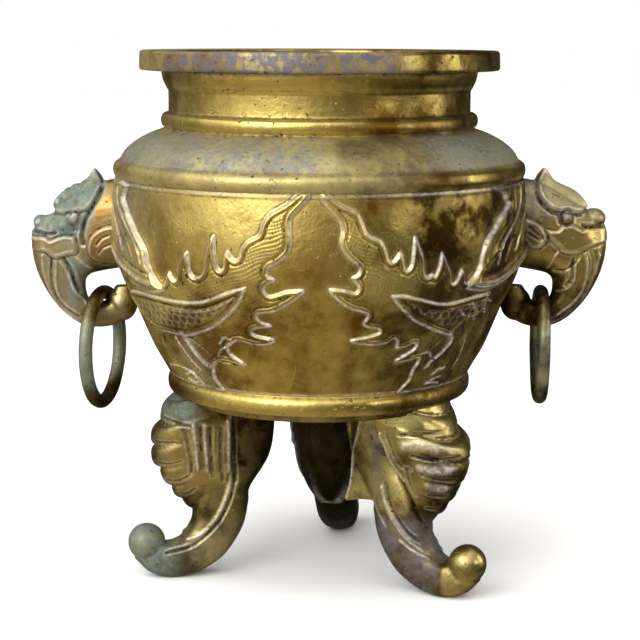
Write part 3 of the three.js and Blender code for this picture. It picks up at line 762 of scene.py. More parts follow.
def leaf(lobes, back_edge):
    """The knee: lobes in front, whose notches fade towards the back edge."""
    heights = np.concatenate([np.linspace(84, 77, 12, endpoint=False),
                              np.linspace(77, lobes[-1][2] - 1.5, 150)])
    angles = np.linspace(90, -90, 121)
    half_width, lift, waist = 19.5, 9, 26
    a = np.radians(angles)
    rings = []
    for h in heights:
        z = h + lift * (1 - np.cos(a))
        back_x = np.interp(z[0], [knot[1] for knot in back_edge], [knot[0] for knot in back_edge])
        top, reach, fill = 77.0, 62.0, 1.0
        if h > top:
            reach = 60 + (84 - h) * 0.45
        for shoulder, chin, foot in lobes:
            if foot <= h <= top:
                t = (h - foot) / (top - foot)
                reach = chin + (shoulder - chin) * t
                fill = max(0.0, 1 - abs(2 * t - 1) ** 3.0) ** (1 / 2.2)
            top = foot
        if h < lobes[-1][2]:
            fill, reach = 0.0, lobes[-1][1]
        half = half_width * min(1.0, max(0.02, (h - waist) / 40)) ** 0.4
        notch = (1 - fill) * (1 - step(np.abs(angles), 25, 72))
        out = np.cos(a).clip(0) ** 0.85
        x = back_x + (max(reach, back_x + 2) - back_x) * out * (1 - 0.13 * notch)
        y = half * np.sin(a) * (1 - 0.12 * notch)
        rings.append(np.stack([x, y, z], -1))
    return closed_loft(rings)


def plate(corners, half):
    """A flat plate with this outline in side view."""
    path = np.array(corners, float)
    side = [np.stack([path[:, 0], np.full(len(path), y), path[:, 1]], -1) for y in (-half, half)]
    return closed_loft(side)


def apron():
    """The broad back of the rear leg."""
    rings = []
    for height, share in through([(84, 1), (58, 0.97), (40, 0.84), (26, 0.62), (20, 0.35)], 8):
        half = 20.5 * share
        corner = through([(31, 0), (31, 0.6 * half), (38, 0.92 * half), (46, half), (47, 0)], 5)
        side = [(x, y, height) for x, y in corner]
        rings.append(side + [(x, -y, z) for x, y, z in side[-2:0:-1]])
    return closed_loft(rings)


# %% [markdown]
# The lines on the legs are the folds of the leaf, the creases between its lobes, and the long lines of the
# scroll.

# %% Lines on the legs
left_leg_lines = [
    ([(39.9, 48), (40.3, 40.9), (42.4, 34.0), (46.3, 26.6), (52.0, 20.3), (58.5, 17.0)], 0.9, 0.6, 0.9),
    ([(38.0, 50), (38.3, 42), (40.4, 34.0), (44.0, 26.6), (49.6, 20.0), (57.0, 14.6), (67.4, 11.8)],
     0.7, 0.5, -1.1),
    ([(69.8, 71.2), (63.9, 70.1), (57.6, 69.3)], 0.8, 0.4, -0.9),
    ([(73.8, 61.0), (69.6, 60.4), (63.5, 61.4)], 0.8, 0.4, -0.9),
    ([(70.6, 51.3), (66.4, 51.1), (61.1, 52.9)], 0.8, 0.4, -0.9),
    ([(66.5, 43.2), (62.3, 43.4), (57.9, 46.3)], 0.8, 0.4, -0.8),
    ([(62.0, 36.8), (58.2, 37.5), (55.0, 40.2)], 0.7, 0.3, -0.8),
    ([(60.4, 66.9), (58.9, 62.9), (57.8, 57.4), (57.0, 52.8), (56.9, 47.6)], 0.9, 0.4, -0.8),
    ([(56.2, 69.0), (55.4, 63.5), (54.9, 56.8), (54.0, 49.0)], 1.3, 0.5, 0.9),
    ([(53.4, 68.5), (53.1, 60.8), (52.0, 50.0)], 0.9, 0.4, -0.8),
    ([(51.6, 69.0), (51.3, 60.5), (50.0, 48.3)], 1.2, 0.5, 0.9),
    ([(49.4, 68.4), (49.0, 57.5), (47.6, 46.3)], 0.9, 0.4, -0.8),
    ([(44.9, 68.1), (44.7, 55.0), (43.3, 43.6)], 0.9, 0.5, -0.8),
    ([(41.8, 71), (41.4, 60), (41.2, 51), (40.4, 46)], 0.8, 0.7, 1.0),
    ([(39.3, 72), (39.0, 60), (38.9, 50), (38.2, 43)], 1.2, 0.8, -1.1)]
right_leg_lines = [
    ([(52.3, 70.1), (57.2, 70.8), (64.5, 71.0), (72, 72.0), (77.3, 74.5)], 0.5, 0.9, -1.1),
    ([(57.3, 61.5), (64.6, 60.5), (73, 61.2), (80.2, 65.8)], 0.5, 0.9, -1.2),
    ([(60.3, 53.4), (67.0, 51.4), (73.2, 51.2), (79.4, 54.1)], 0.5, 0.8, -1.1),
    ([(61.8, 44.6), (68.5, 43.6), (75.3, 45.0)], 0.4, 0.7, -0.9),
    ([(59.8, 38.2), (65.7, 37.3), (70.6, 38.1)], 0.4, 0.6, -0.8),
    ([(54.0, 65.6), (60.5, 66.4), (68, 66.0), (76, 68.4)], 1.8, 2.6, 0.8),
    ([(60.0, 56.6), (66.6, 55.8), (74.4, 57.2)], 1.6, 2.4, 0.7),
    ([(62.0, 48.4), (68.0, 47.2), (74.6, 48.6)], 1.4, 2.0, 0.6),
    ([(43.0, 69.4), (45.4, 63.3), (47.4, 57.2), (49.9, 53.4), (52.6, 49.9)], 0.7, 0.5, 0.9),
    ([(46.4, 69.9), (48.4, 62.7), (51.4, 56.7), (55.8, 55.4)], 0.7, 0.4, -0.6),
    ([(53.9, 55.1), (54.4, 50.0), (56.0, 43.9)], 0.7, 0.5, -0.7),
    ([(40.6, 46), (41.6, 41.5), (43.6, 36.2), (47.6, 30.8), (52.6, 25.3), (60.1, 20.4)], 0.7, 0.5, -1.1),
    ([(38.6, 44), (39.9, 39.5), (41.9, 34.4), (45.8, 28.9), (50.8, 23.6), (58.4, 18.4)], 0.7, 0.5, 0.5),
    ([(47.6, 22.6), (53.0, 19.4), (60.1, 16.2), (66.4, 15.0)], 0.45, 0.35, 0.7),
    ([(33.8, 38), (36.8, 33.0), (41.0, 27.4)], 0.4, 0.3, 0.5),
    ([(28.0, 72), (25.2, 62), (22.2, 55.5), (21.4, 45), (18.9, 35.4)], 0.6, 0.6, 0.8)]
leg_lines = {"leg_left": left_leg_lines, "leg_right": right_leg_lines, "leg_rear": left_leg_lines}


def make_leg(name, azimuth, set_out):
    """A leg on its azimuth: fused, chased, and cut flat on the floor."""
    scroll = banded(scroll_stations, scroll_section)
    knee = leaf(upper_lobes[name] + lower_lobes, leaf_backs[name])
    ball = egg((75.1, 0, 15.3), (8, 8, 8))
    bodies = [scroll, knee, ball]
    if name == "leg_right":
        web = [(16, 84), (44, 84), (44, 38), (25, 36), (18.4, 34.2), (20.6, 45), (21.2, 55), (19, 64)]
        bodies.append(plate(web, 6.4))
    if name == "leg_rear":
        bodies.append(apron())
    voxel = 1.0 if name == "leg_rear" else 0.56  # the rear leg is hardly seen
    made = fuse(name + "_cast", bodies, voxel, rounds=3)
    raised, cut = chase(made, [], leg_lines[name])
    p = positions(made.data)
    p[:, 0] += set_out
    out = np.hypot(p[:, 0], p[:, 1])
    p[:, 2] = np.clip(p[:, 2], 0, 79.6 + 2.2 * step(out, 57.5, 60.5))
    hollow = hollowness(made.data, rounds=8)
    # Hollows and cut lines get grime with painted shade; convex edges and raised lines get a painted pale
    # highlight.
    paint(made, "grime_and_shade", np.maximum(step(hollow, 0.10, 0.45), cut))
    paint(made, "pale_highlight", np.maximum(0.4 * step(-hollow, 0.14, 0.5), 0.7 * raised))
    c, s = math.cos(math.radians(azimuth)), math.sin(math.radians(azimuth))
    set_positions(made.data, np.stack([c * p[:, 0] - s * p[:, 1], s * p[:, 0] + c * p[:, 1], p[:, 2]], -1))
    print(name, "triangles:", 2 * len(made.data.polygons))
    return made, p


# Each leg: its name, the degrees round the pot from +X, and how many mm further out it stands.
leg_places = [("leg_left", 190.5, 0), ("leg_right", -35, 0.4), ("leg_rear", 80, 0)]
legs = {name: make_leg(name, azimuth, set_out) for name, azimuth, set_out in leg_places}

# %% [markdown]
# ### The beast heads
#
# Each handle is the head of a fancied beast with a long trunk that curls back to the bowl. It has a crest
# like a drop, a bead for each eye, a knob for a nose and a band across its muzzle.

# %% Handle parts
head_stations = [
    (78, 172.5, 78, 134.5, 13), (95, 169.5, 95, 131.4, 12.4), (108, 162, 98.6, 129.6, 11.5),
    (117.2, 155.6, 99.4, 128.6, 11), (121.8, 151, 99.7, 127.5, 10.5), (122.4, 144.5, 99.8, 126.2, 10),
    (121.6, 136.5, 99.8, 124.8, 9.2), (118.8, 128, 99.6, 123, 8.3), (113.4, 118.8, 99, 120.9, 7.4),
    (106, 111.4, 97.8, 119.4, 6.6), (98.4, 107.9, 95.6, 118.8, 6), (90, 107.9, 93, 118.8, 5.7),
    (84.2, 110.4, 91, 119.3, 5.5), (80.2, 114.6, 89.7, 120.6, 5.2), (78.6, 120, 88.7, 122.8, 4.8),
    (80.6, 125.8, 87, 125.6, 3.2)]
head_section = [(1, 0), (0.94, 0.36), (0.82, 0.62), (0.6, 0.86), (0.3, 0.98), (-0.3, 0.98), (-0.6, 0.88),
                (-0.82, 0.62), (-0.95, 0.34), (-1, 0)]
crest_stations = [
    (94.8, 176.0, 96.6, 173.5, 1), (91.5, 171.5, 98.9, 171, 3), (92, 166, 102.8, 168.9, 4.6),
    (98, 161, 107, 167, 4.6), (103, 158, 110.3, 164.6, 4.2), (107.6, 156.6, 112.6, 162, 3.8),
    (111.4, 157, 113.6, 159.6, 2)]
crest_section = [(1, 0), (0.8, 0.55), (0.4, 0.92), (0, 1), (-0.4, 0.92), (-0.8, 0.55), (-1, 0)]


# %% [markdown]
# The two heads come from one pattern, but each was finished by hand, and the left one has since corroded.
# So each has its own lines, and the left one a crust: every point of its crown stands out by its distance
# from the nearest of some scattered seeds, which makes lumps that meet in creases, like a rock.

# %% Lines on the heads
crest_edge = [(95.4, 176), (92.8, 171), (92.0, 167), (93.4, 163.4), (95.5, 161.3), (97.7, 159.6),
              (100.6, 158.8), (104.5, 158.6), (108.5, 157.8), (112.4, 158.6), (115, 161), (110.5, 166.4),
              (104, 170), (98.5, 172)]
right_areas = [
    (crest_edge, 0.9, 0.3),
    ([(95.3, 150.3), (100, 149.9), (102.5, 152), (106.7, 152), (110.5, 149.9), (113.4, 150.7), (118.5, 151.1),
      (126, 151), (126, 145.5), (120.7, 145.2), (114.4, 143.5), (109.9, 141.4), (106.1, 140.5), (102.7, 141),
      (100.5, 143.5), (97, 146.5)], 0.8, 0.2),
    ([(84, 155.5), (88.9, 154.2), (92.3, 152.5), (94.1, 149.9), (95.4, 147), (93.8, 144), (90.8, 142.7),
      (87.9, 144), (84, 149)], 0.6, 0.3)]
right_head_lines = [
    ([(87.7, 152.1), (89.9, 150.4), (92, 148.7), (93.7, 147)], 0.5, 0.4, -0.7),
    ([(87.6, 149.3), (90.3, 147.8), (92.5, 146.4)], 0.5, 0.4, -0.7),
    ([(91.2, 166.0), (92.4, 162.4), (94.8, 159.9), (97.3, 158.0), (100.2, 156.9), (101.0, 153.6)],
     0.7, 0.7, -1.2),
    ([(100.2, 156.9), (104, 158.9), (107.6, 156.6), (110.4, 156.4)], 0.5, 0.5, -0.7),
    ([(109.9, 141), (108.2, 138.4), (107.9, 135), (108, 130.7), (107.2, 127.7), (105.2, 125.2), (101, 123.5)],
     0.5, 0.4, 0.7),
    ([(109.0, 139.8), (106.9, 137.4), (106.6, 134), (106.7, 130.7), (105.9, 128.6), (104.2, 126.6)],
     0.6, 0.4, -0.7),
    ([(109.2, 138.6), (106.5, 135.2), (103.5, 133.3), (99.9, 132.9)], 0.6, 0.5, -0.8),
    ([(101.4, 141.6), (98.5, 138.0), (96.5, 134.2)], 0.6, 0.5, 0.6),
    ([(111.6, 140.9), (112.9, 137.5), (113.4, 133.7), (112.7, 127.6), (110.4, 122.2), (106.8, 117.7),
      (101.4, 113.6)], 0.4, 0.35, 0.6),
    ([(114.2, 141.4), (115.6, 137.0), (115.4, 131.4), (113.6, 125.0), (110.4, 119.4), (105, 114.2),
      (99, 111.0)], 0.6, 0.5, -0.6),
    ([(118.6, 139.6), (117.6, 135.8), (116.9, 131.4)], 0.45, 0.4, 0.6),
    ([(111.0, 152.2), (114.3, 151.7), (118.5, 151.9), (124, 152.4)], 0.8, 1.0, -2.2)]
left_areas = [
    (crest_edge, 0.5, 0.2),
    ([(103, 147.6), (106.4, 147.9), (109.8, 147.0), (113.2, 145.6), (115.2, 147), (119.4, 147),
      (126, 146.8), (126, 141.8), (119.2, 141.7), (115, 141.3), (112.1, 139.1), (109.1, 139.1),
      (104.9, 140.4), (101.6, 141.6)], 0.6, 0.2),
    ([(82, 153), (86.5, 152.2), (90.3, 151.4), (93.7, 149.4), (96.2, 146.1), (96.6, 141.2), (93.7, 137.6),
      (89.3, 136.9), (82, 138)], 0.9, 0.0)]
left_head_lines = [
    ([(91.4, 168.6), (92.6, 165.4), (95.2, 160.2), (97.9, 155.0), (99.4, 149.4), (99.0, 145.0)],
     1.0, 0.9, -1.3),
    ([(88.4, 148.6), (91.2, 147.2), (93.2, 144.8)], 0.5, 0.4, -0.6),
    ([(87.6, 144.8), (90.4, 143.6), (92.4, 141.4)], 0.5, 0.4, -0.6),
    ([(110.4, 138.3), (111.0, 132.3), (111.2, 126.7), (109.7, 121.6), (106.8, 117.7), (101.4, 113.8)],
     0.5, 0.4, 0.6),
    ([(112.6, 138.3), (113.2, 132.3), (112.9, 126.0), (110.9, 120.4), (107.6, 116.4), (101.8, 112.6)],
     0.6, 0.4, -0.7),
    ([(116.7, 139.6), (116.5, 133.2), (115.0, 126.8), (112.7, 121.2), (109.0, 115.6), (102.3, 110.9)],
     0.5, 0.4, 0.6),
    ([(109.2, 137.4), (106.4, 133.2), (104.8, 128.0), (103.3, 123.7), (100.4, 120.3), (97.9, 116.8)],
     0.5, 0.4, 0.6),
    ([(107.6, 138.4), (104.6, 133.4), (103.2, 128.2), (101.6, 124.2)], 0.9, 0.6, -0.9),
    ([(102.4, 139.6), (99.1, 136.2), (96.2, 133.8)], 0.6, 0.5, 0.6),
    ([(111.0, 149.4), (114.3, 148.9), (118.5, 149.4), (124, 149.8)], 0.7, 0.8, -1.0)]


def crust(p, low, high):
    """How far a corroded lumpy skin stands out, between two heights."""
    seeds = np.random.default_rng(7).uniform((92, -14, 140), (124, 14, 176), (150, 3))
    nearest = np.min(np.linalg.norm(p[:, None, :] - seeds[None], axis=2), axis=1)
    return (1.1 - 0.45 * nearest) * step(p[:, 2], low, high) * step(p[:, 0], 97, 102)


def make_handle(name, side, drop, nose_height, areas, lines):
    """A beast head on its side of the bowl. Its root goes a little way into the bowl's skin."""
    head, crest = banded(head_stations, head_section), banded(crest_stations, crest_section)
    nose = egg((116.6, 0, nose_height), (5.2, 6.4, 4.3))
    brow = egg((109.6, 0, 154.0), (5.4, 8.6, 3.4))
    trunk_tip = egg((84.4, 0, 117.6), (6.6, 5.9, 7.4))
    eye_x, eye_z = 103.6, 155.3
    eyes = [egg((eye_x, y, eye_z), (3.0, 3.6, 3.0), 28) for y in (-10.2, 10.2)]
    made = fuse(name + "_cast", [head, crest, nose, brow, trunk_tip] + eyes, voxel=0.46, rounds=2)
    raised, cut = chase(made, areas, lines)
    p = positions(made.data)
    from_eye = np.hypot(p[:, 0] - eye_x, p[:, 2] - eye_z)
    if side < 0:
        p += normals(made.data) * crust(p, 147, 151)[:, None]
        set_positions(made.data, p)
    else:
        on_eye = (np.abs(p[:, 1]) > 8) * (1 - step(from_eye, 2.9, 3.3))
        # The eye beads, the lower curl of the trunk and the neck beside the bowl are darkened: partly brown
        # tarnish, partly painted shade.
        paint(made, "brown_and_shade", 0.9 * on_eye + 0.8 * (1 - step(p[:, 0], 88, 104)) * (1 - step(p[:, 2], 120, 136))
              + 0.5 * (1 - step(p[:, 0], 94, 98)))
        # A painted pale highlight rings each eye, and a dark ring of grime with painted shade lies round the
        # bead.
        raised = np.maximum(raised * (1 - on_eye), 0.8 * bump(from_eye - 3.9, 0.5) * (np.abs(p[:, 1]) > 8))
        cut = np.maximum(cut, bump(from_eye - 3.2, 0.3) * (np.abs(p[:, 1]) > 8))
    p[:, 2] -= drop
    hollow = hollowness(made.data, rounds=8)
    # Hollows and cut lines get grime with painted shade; convex edges and raised lines get a painted pale
    # highlight.
    paint(made, "grime_and_shade", np.maximum(step(hollow, 0.08, 0.4), cut))
    paint(made, "pale_highlight", np.maximum(0.45 * step(-hollow, 0.10, 0.4), 0.6 * raised))
    out = np.hypot(p[:, 0], p[:, 1])
    least = bowl_radius(p[:, 2]) - 1.2
    p[:, :2] *= (np.maximum(out, least) / out)[:, None]
    set_positions(made.data, p * (side, side, 1))
    print(name, "triangles:", 2 * len(made.data.polygons))
    return made


handles = {
    "handle_left": make_handle("handle_left", side=-1, drop=0.8, nose_height=151.8, areas=left_areas,
                               lines=left_head_lines),
    "handle_right": make_handle("handle_right", side=1, drop=0, nose_height=154.4, areas=right_areas,
                                lines=right_head_lines)}

# %% [markdown]
# ### The loose rings
#
# The rings are drawn wire, bent round and closed. A wire bent by hand is never quite even, so its thickness
# wanders by a few hundredths of a millimetre round the ring.


# %% Rings
def make_ring(name, reach, radius, drop, swivel):
    """A ring of 6 mm wire that hangs over a trunk."""
    wire, play, trunk_top = 3.0, 0.7, 118.8
    major = radius - wire
    height = trunk_top - drop + play + wire - major
    round_ring, round_wire = 144, 28  # points round the ring and round its wire
    turn = np.linspace(0, 2 * math.pi, round_ring, endpoint=False)
    roll = np.linspace(0, 2 * math.pi, round_wire, endpoint=False)
    T, W = np.meshgrid(turn, roll, indexing="ij")
    thick = wire * (0.975 + 0.012 * np.sin(3 * T + 1) + 0.010 * np.sin(7 * T + 2 * W))
    r = major + thick * np.cos(W)
    local = np.stack([thick * np.sin(W), r * np.cos(T), r * np.sin(T)], -1).reshape(-1, 3)
    c, s = math.cos(math.radians(swivel)), math.sin(math.radians(swivel))
    points = np.stack([c * local[:, 0] - s * local[:, 1] + reach, s * local[:, 0] + c * local[:, 1],
                       local[:, 2] + height], -1)
    made = mesh_object(name + "_wire", points, grid_faces(round_ring, round_wire, close_rows=True))
    print(name, "centre height:", round(height, 2))
    return made


rings = {"ring_left": make_ring("ring_left", reach=-92.9, radius=26.6, drop=0.8, swivel=-10.8),
         "ring_right": make_ring("ring_right", reach=95.2, radius=25.7, drop=0, swivel=-3.3)}

# %% [markdown]
# ## Brass
#
# All of it is cast brass, a copper and zinc alloy: a metal, so metallic is 1 where it is clean, and the
# colour of its reflection is the colour of the metal. Handling keeps the high places bright, and the same
# mask adds a painted highlight on the side that faces the light. Elsewhere it has gone olive and brown, and
# the brown is also painted shade on the dim side and in shaded places; grime with painted shade sits in the
# grooves, a painted pale highlight runs along edges and slopes, and a grey-green bloom of copper salts covers
# what nobody rubs. Each of these is a layer over the clean metal, with its own colour and roughness, and each
# layer has a mask: some were stored with the shapes above, and the rest is noise at the size of the real
# stains.


# %% The brass material
def brass(name, clean, dull, bloom, dull_share, roughness):
    """Cast brass with tarnish, brown with painted shade, grime with painted shade, painted highlights and
    bloom.
    """
    material = bpy.data.materials.new(name)
    material.use_nodes = True
    tree = material.node_tree
    shader = tree.nodes["Principled BSDF"]
    place = add(tree, "ShaderNodeTexCoord").outputs["Object"]

    # Noise at the size of the real marks, made into masks: (size in mm, detail, mask's low and high end).
    marks = {}
    for mark, size_mm, detail, low, high in (("cloud", 30, 4, 0.40, 0.62), ("stain", 13, 6, 0.42, 0.62),
                                             ("mottle", 4.5, 6, 0.40, 0.62), ("flecks", 2.2, 4, 0.44, 0.60),
                                             ("pits", 2.4, 3, 0.63, 0.69), ("sparks", 1.5, 3, 0.70, 0.76),
                                             ("grain", 0.8, 4, 0.2, 0.8), ("swell", 9, 3, 0.2, 0.8)):
        noise = add(tree, "ShaderNodeTexNoise", None,
                    {"Vector": place, "Scale": 1000 / size_mm, "Detail": detail, "Roughness": 0.65})
        marks[mark] = add(tree, "ShaderNodeMapRange", {"interpolation_type": "SMOOTHSTEP"},
                          {"Value": noise.outputs["Fac"], "From Min": low, "From Max": high}).outputs[0]

    # A stored mask, broken up by a mark: mask x (base + share x mark).
    layers = {}
    for layer, mark, base, share in (("grime_and_shade", "flecks", 0.65, 0.45), ("pale_highlight", "flecks", 0.5, 0.5),
                                     ("bloom", "flecks", 0.68, 0.4), ("copper", "stain", 0.3, 0.6),
                                     ("brown_and_shade", "stain", 0.6, 0.45), ("grey", "mottle", 0.5, 0.6),
                                     ("rubbed_and_lit", "mottle", 1.1, -0.5)):
        stored = add(tree, "ShaderNodeAttribute", {"attribute_name": layer}).outputs["Fac"]
        patchy = add(tree, "ShaderNodeMath", {"operation": "MULTIPLY_ADD"},
                     {0: marks[mark], 1: share, 2: base})
        layers[layer] = add(tree, "ShaderNodeMath", {"operation": "MULTIPLY", "use_clamp": True},
                            {0: stored, 1: patchy.outputs[0]}).outputs[0]
    clouds = add(tree, "ShaderNodeMath", {"operation": "MULTIPLY_ADD"},
                 {0: marks["stain"], 1: 0.5, 2: marks["cloud"]})
    # Tarnish lies where the metal is neither rubbed bright nor given a painted highlight.
    unrubbed_unlit = add(tree, "ShaderNodeMath", {"operation": "MULTIPLY_ADD", "use_clamp": True},
                   {0: layers["rubbed_and_lit"], 1: -dull_share, 2: dull_share})
    layers["tarnish"] = add(tree, "ShaderNodeMath", {"operation": "MULTIPLY", "use_clamp": True},
                            {0: clouds.outputs[0], 1: unrubbed_unlit.outputs[0]}).outputs[0]
    layers["grime_and_shade"] = add(tree, "ShaderNodeMath", {"operation": "MULTIPLY_ADD", "use_clamp": True},
                         {0: marks["pits"], 1: 0.8, 2: layers["grime_and_shade"]}).outputs[0]
    layers["sparks"] = marks["sparks"]

    # One coat over another: its colour, and what it adds to the roughness and takes from the metal.
    colour, rough, metal = linear(clean), roughness, 1.0
    # Of these coats, brown is partly painted shade, pale is a painted highlight, and the near-black one is
    # grime with painted shade.
    for layer, tint, rougher, duller in (("tarnish", dull, 0.14, 0.0), ("brown_and_shade", "#3d2808", 0.05, 0.0),
                                         ("copper", "#b8802f", 0.04, 0.0), ("bloom", bloom, 0.22, 0.6),
                                         ("grey", "#686263", 0.2, 0.5), ("sparks", "#ead489", 0.0, 0.0),
                                         ("pale_highlight", "#efe6dc", 0.12, 0.5), ("grime_and_shade", "#19120a", 0.3, 0.6)):
        mask = layers[layer]
        colour = add(tree, "ShaderNodeMix", {"data_type": "RGBA"},
                     {0: mask, 6: colour, 7: linear(tint)}).outputs[2]
        rough = add(tree, "ShaderNodeMath", {"operation": "MULTIPLY_ADD", "use_clamp": True},
                    {0: mask, 1: rougher, 2: rough}).outputs[0]
        metal = add(tree, "ShaderNodeMath", {"operation": "MULTIPLY_ADD", "use_clamp": True},
                    {0: mask, 1: -duller, 2: metal}).outputs[0]

    low = add(tree, "ShaderNodeBump", None, {"Strength": 0.35, "Distance": 0.0004, "Height": marks["swell"]})
    fine = add(tree, "ShaderNodeBump", None,
               {"Strength": 0.3, "Distance": 0.0001, "Height": marks["grain"], "Normal": low.outputs[0]})
    cut = add(tree, "ShaderNodeBump", {"invert": True},
              {"Strength": 0.6, "Distance": 0.0003, "Height": marks["pits"], "Normal": fine.outputs[0]})
    for socket, value in (("Base Color", colour), ("Roughness", rough), ("Metallic", metal),
                          ("Normal", cut.outputs[0])):
        tree.links.new(value, shader.inputs[socket])
    return material


# The colours of clean metal, tarnish and bloom, how much is tarnished, and how rough the clean metal is.
pot_brass = brass("cast_brass_polished", "#e8cc74", "#86641f", "#7c7e72", 0.78, 0.27)
leg_brass = brass("cast_brass_dull", "#cfb975", "#5c4a1f", "#6f7a70", 0.86, 0.30)
# The rear leg stands in shadow, so its brass is dark: its own dark patina with painted shade.
rear_leg_shaded_brass = brass("cast_brass_dark_shaded", "#3c3019", "#1d170b", "#34321f", 0.9, 0.36)
handle_brass = brass("cast_brass_brown", "#d2b972", "#594622", "#939a90", 0.88, 0.32)
green_brass = brass("cast_brass_verdigris", "#b9a678", "#6a6044", "#6c7b72", 0.85, 0.36)
wire_brass = brass("brass_wire", "#c8bd8c", "#5a5036", "#72857a", 0.85, 0.32)

# %% [markdown]
# None of this is even. The bloom lies on the shoulder and under the rim, where damp soil left it, and all
# over the left handle and its ring. The front is brighter from the middle to the left, partly rubbed and
# partly a painted highlight for the side that faces the light, and browner to the right, partly tarnish and
# partly painted shade. Each piece stores how much of each coat there is at every point.


# %% Where each coat lies
def band_mask(x, low, high, soft):
    """1 between two values, with soft ends."""
    return step(x, low - soft, low + soft) * (1 - step(x, high - soft, high + soft))


def around(piece):
    """Each vertex's angle from the front's middle in degrees, its height and its distance from the axis."""
    p = positions(piece.data)
    return np.degrees(np.arctan2(p[:, 0], -p[:, 1])), p[:, 2], np.hypot(p[:, 0], p[:, 1])


angle, z, out = around(vessel)
front_left, front_right = band_mask(angle, -52, 12, 12), band_mask(angle, 26, 120, 10)
on_rim, on_neck = band_mask(z, 216, 226, 0.5) * (out > 60), band_mask(z, 192, 216, 0.5)
on_shoulder, on_belt, on_foot = band_mask(z, 179.5, 192, 1), band_mask(z, 171, 179.5, 0.5), z < 90
within = step(-out, -62, -59)
# Less tarnish on the left of the front: partly rubbed bright, partly a painted highlight for the side that
# faces the light.
paint(vessel, "rubbed_and_lit", front_left * (on_neck + on_foot) + 0.5 * front_left * on_belt)
# Brown on the right of the front: partly brown tarnish, partly painted shade for the side away from the light.
# Inside the mouth it is painted shade.
paint(vessel, "brown_and_shade", front_right * (0.85 * on_rim + 0.55 * on_neck + 0.6 * on_belt + 0.6 * on_foot
                                      + 0.3 * on_shoulder) + 0.7 * within)
paint(vessel, "bloom", on_shoulder * (1 - 0.55 * band_mask(angle, 2, 34, 8))
      + 0.5 * on_rim * band_mask(angle, -180, -58, 6) + 0.45 * on_belt * (1 - front_right)
      + 0.25 * on_neck * band_mask(angle, -120, -55, 8))
paint(vessel, "grey", on_rim * band_mask(angle, -56, 24, 8) + 0.35 * on_rim * (np.abs(angle) > 100))
# Dark lines where the mouldings meet: grime with painted shade in the creases.
paint(vessel, "grime_and_shade", 0.6 * bump(z - DOME, 0.8) + 0.6 * bump(z - BELT, 0.9) + 0.8 * bump(z - NECK, 0.9)
      + 0.8 * bump(z - BAND, 0.7) + 0.7 * bump(z - COVE, 0.7) + 0.9 * bump(z - 216, 0.8)
      + 0.7 * bump(z - BEAD, 0.8) + 0.7 * bump(z - BOWL, 0.9))
for skin_piece in bowl_skins:
    angle, z, _ = around(skin_piece)
    # Less tarnish on the upper left and in the middle: partly rubbed bright, partly a painted highlight.
    paint(skin_piece, "rubbed_and_lit", band_mask(angle, -50, -8, 10) * step(z, 135, 160)
          + 0.6 * band_mask(angle, -14, 8, 5))
    # Brown on the right and low in the middle: partly brown tarnish, partly painted shade.
    paint(skin_piece, "brown_and_shade", band_mask(angle, 20, 130, 9) * (0.75 + 0.25 * step(z, 138, 152))
          + 0.25 * band_mask(angle, -6, 22, 5) * (1 - step(z, 100, 125)))
    paint(skin_piece, "bloom", 0.55 * band_mask(angle, -130, -52, 8) * step(z, 115, 150))
    paint(skin_piece, "copper", 0.35 * band_mask(angle, -9, 6, 4) * band_mask(z, 140, 165, 8))
    paint(skin_piece, "grey", 0.5 * band_mask(angle, -52, -38, 5) * (1 - step(z, 108, 118)))
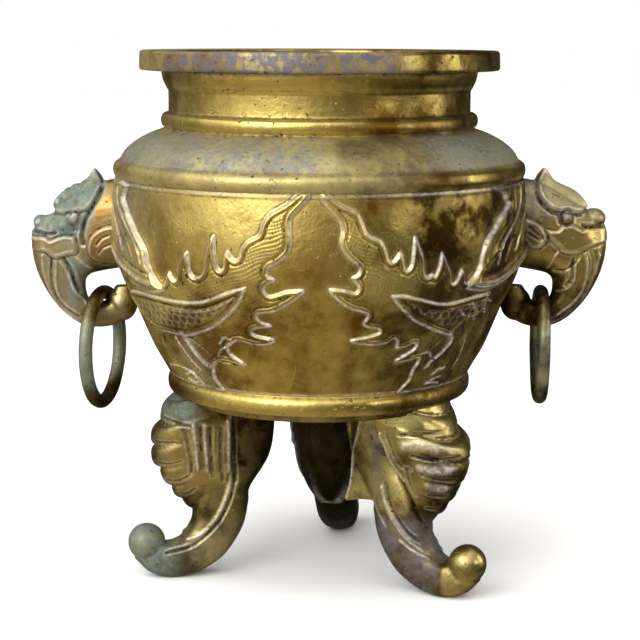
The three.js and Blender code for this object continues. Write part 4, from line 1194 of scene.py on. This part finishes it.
for name, (leg, p) in legs.items():
    x, z = p[:, 0], p[:, 2]
    if name == "leg_left":
        paint(leg, "bloom", 0.9 * step(z, 66, 74) * step(x, 48, 60) + step(x, 58, 73) * (1 - step(z, 24, 32))
              + 0.35 * (1 - step(z, 14, 34)))
        paint(leg, "copper", 0.55 * band_mask(x, 45, 62, 7) * band_mask(z, 50, 66, 8))
        # The leaf's face is kept bright: partly rubbed, partly a painted highlight.
        paint(leg, "rubbed_and_lit", band_mask(x, 46, 70, 5) * band_mask(z, 40, 68, 5))
        # Painted shadow on the scroll behind the leaf's flange.
        paint(leg, "brown_and_shade", (1 - step(x, 36.5, 40)) * step(z, 38, 52))
    elif name == "leg_right":
        # The upper lobe and the front of the foot are kept bright: partly rubbed, partly a painted highlight.
        paint(leg, "rubbed_and_lit", step(z, 60, 66) + step(x, 66, 69) * (1 - step(z, 26, 30)))
        paint(leg, "grey", 0.8 * (1 - step(z, 28, 38)) * (1 - step(x, 64, 68))
              + 0.5 * band_mask(x, 33, 40, 2) * step(z, 34, 38))
        # Painted shade behind the leaf.
        paint(leg, "brown_and_shade", 0.5 * (1 - step(x, 36, 42)) * step(z, 40, 46))
for name, handle in handles.items():
    p = positions(handle.data)
    x, z = np.abs(p[:, 0]), p[:, 2]
    if name == "handle_left":
        crown = step(z, 144, 150) * step(x + 0.35 * (z - 150), 95, 98)
        paint(handle, "bloom", crown + 0.8 * band_mask(x, 98, 106, 2) * band_mask(z, 118, 138, 4)
              + 0.3 * step(x, 100, 106))
        paint(handle, "copper", (1 - crown) * step(z, 134, 140) * (1 - step(x, 95, 98))
              + 0.5 * step(x, 107, 112))
        paint(handle, "rubbed_and_lit", 1 - crown)
    else:
        paint(handle, "bloom", 0.4 * step(z, 152, 158))
        # The muzzle band and the top of the head are kept bright: partly rubbed, partly a painted highlight.
        paint(handle, "rubbed_and_lit", step(x, 99, 102) * band_mask(z, 140.5, 152, 1.5)
              + step(z, 158, 161) * step(x, 93, 96))
for name, share in (("ring_left", 0.85), ("ring_right", 0.3)):
    p = positions(rings[name].data)
    paint(rings[name], "bloom", share * band_mask(p[:, 2], 84, 112, 5))
    # The ring's top and bottom are darkened: partly brown tarnish, partly painted shade.
    paint(rings[name], "brown_and_shade", 0.9 * (1 - band_mask(p[:, 2], 86, 114, 5)))


def dress(piece, node, material, body):
    """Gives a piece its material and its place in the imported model."""
    piece.data.materials.clear()
    piece.data.materials.append(material)
    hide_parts(node)
    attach(piece, body)


dress(vessel, "pot", pot_brass, "cachepot")
for skin_piece in bowl_skins:
    dress(skin_piece, "pot", pot_brass, "cachepot")
for name, (leg, _) in legs.items():
    dress(leg, name, rear_leg_shaded_brass if name == "leg_rear" else leg_brass, "cachepot")
dress(handles["handle_left"], "handle_left", green_brass, "cachepot")
dress(handles["handle_right"], "handle_right", handle_brass, "cachepot")
dress(rings["ring_left"], "ring_left", green_brass, "left_ring")
dress(rings["ring_right"], "ring_right", wire_brass, "right_ring")
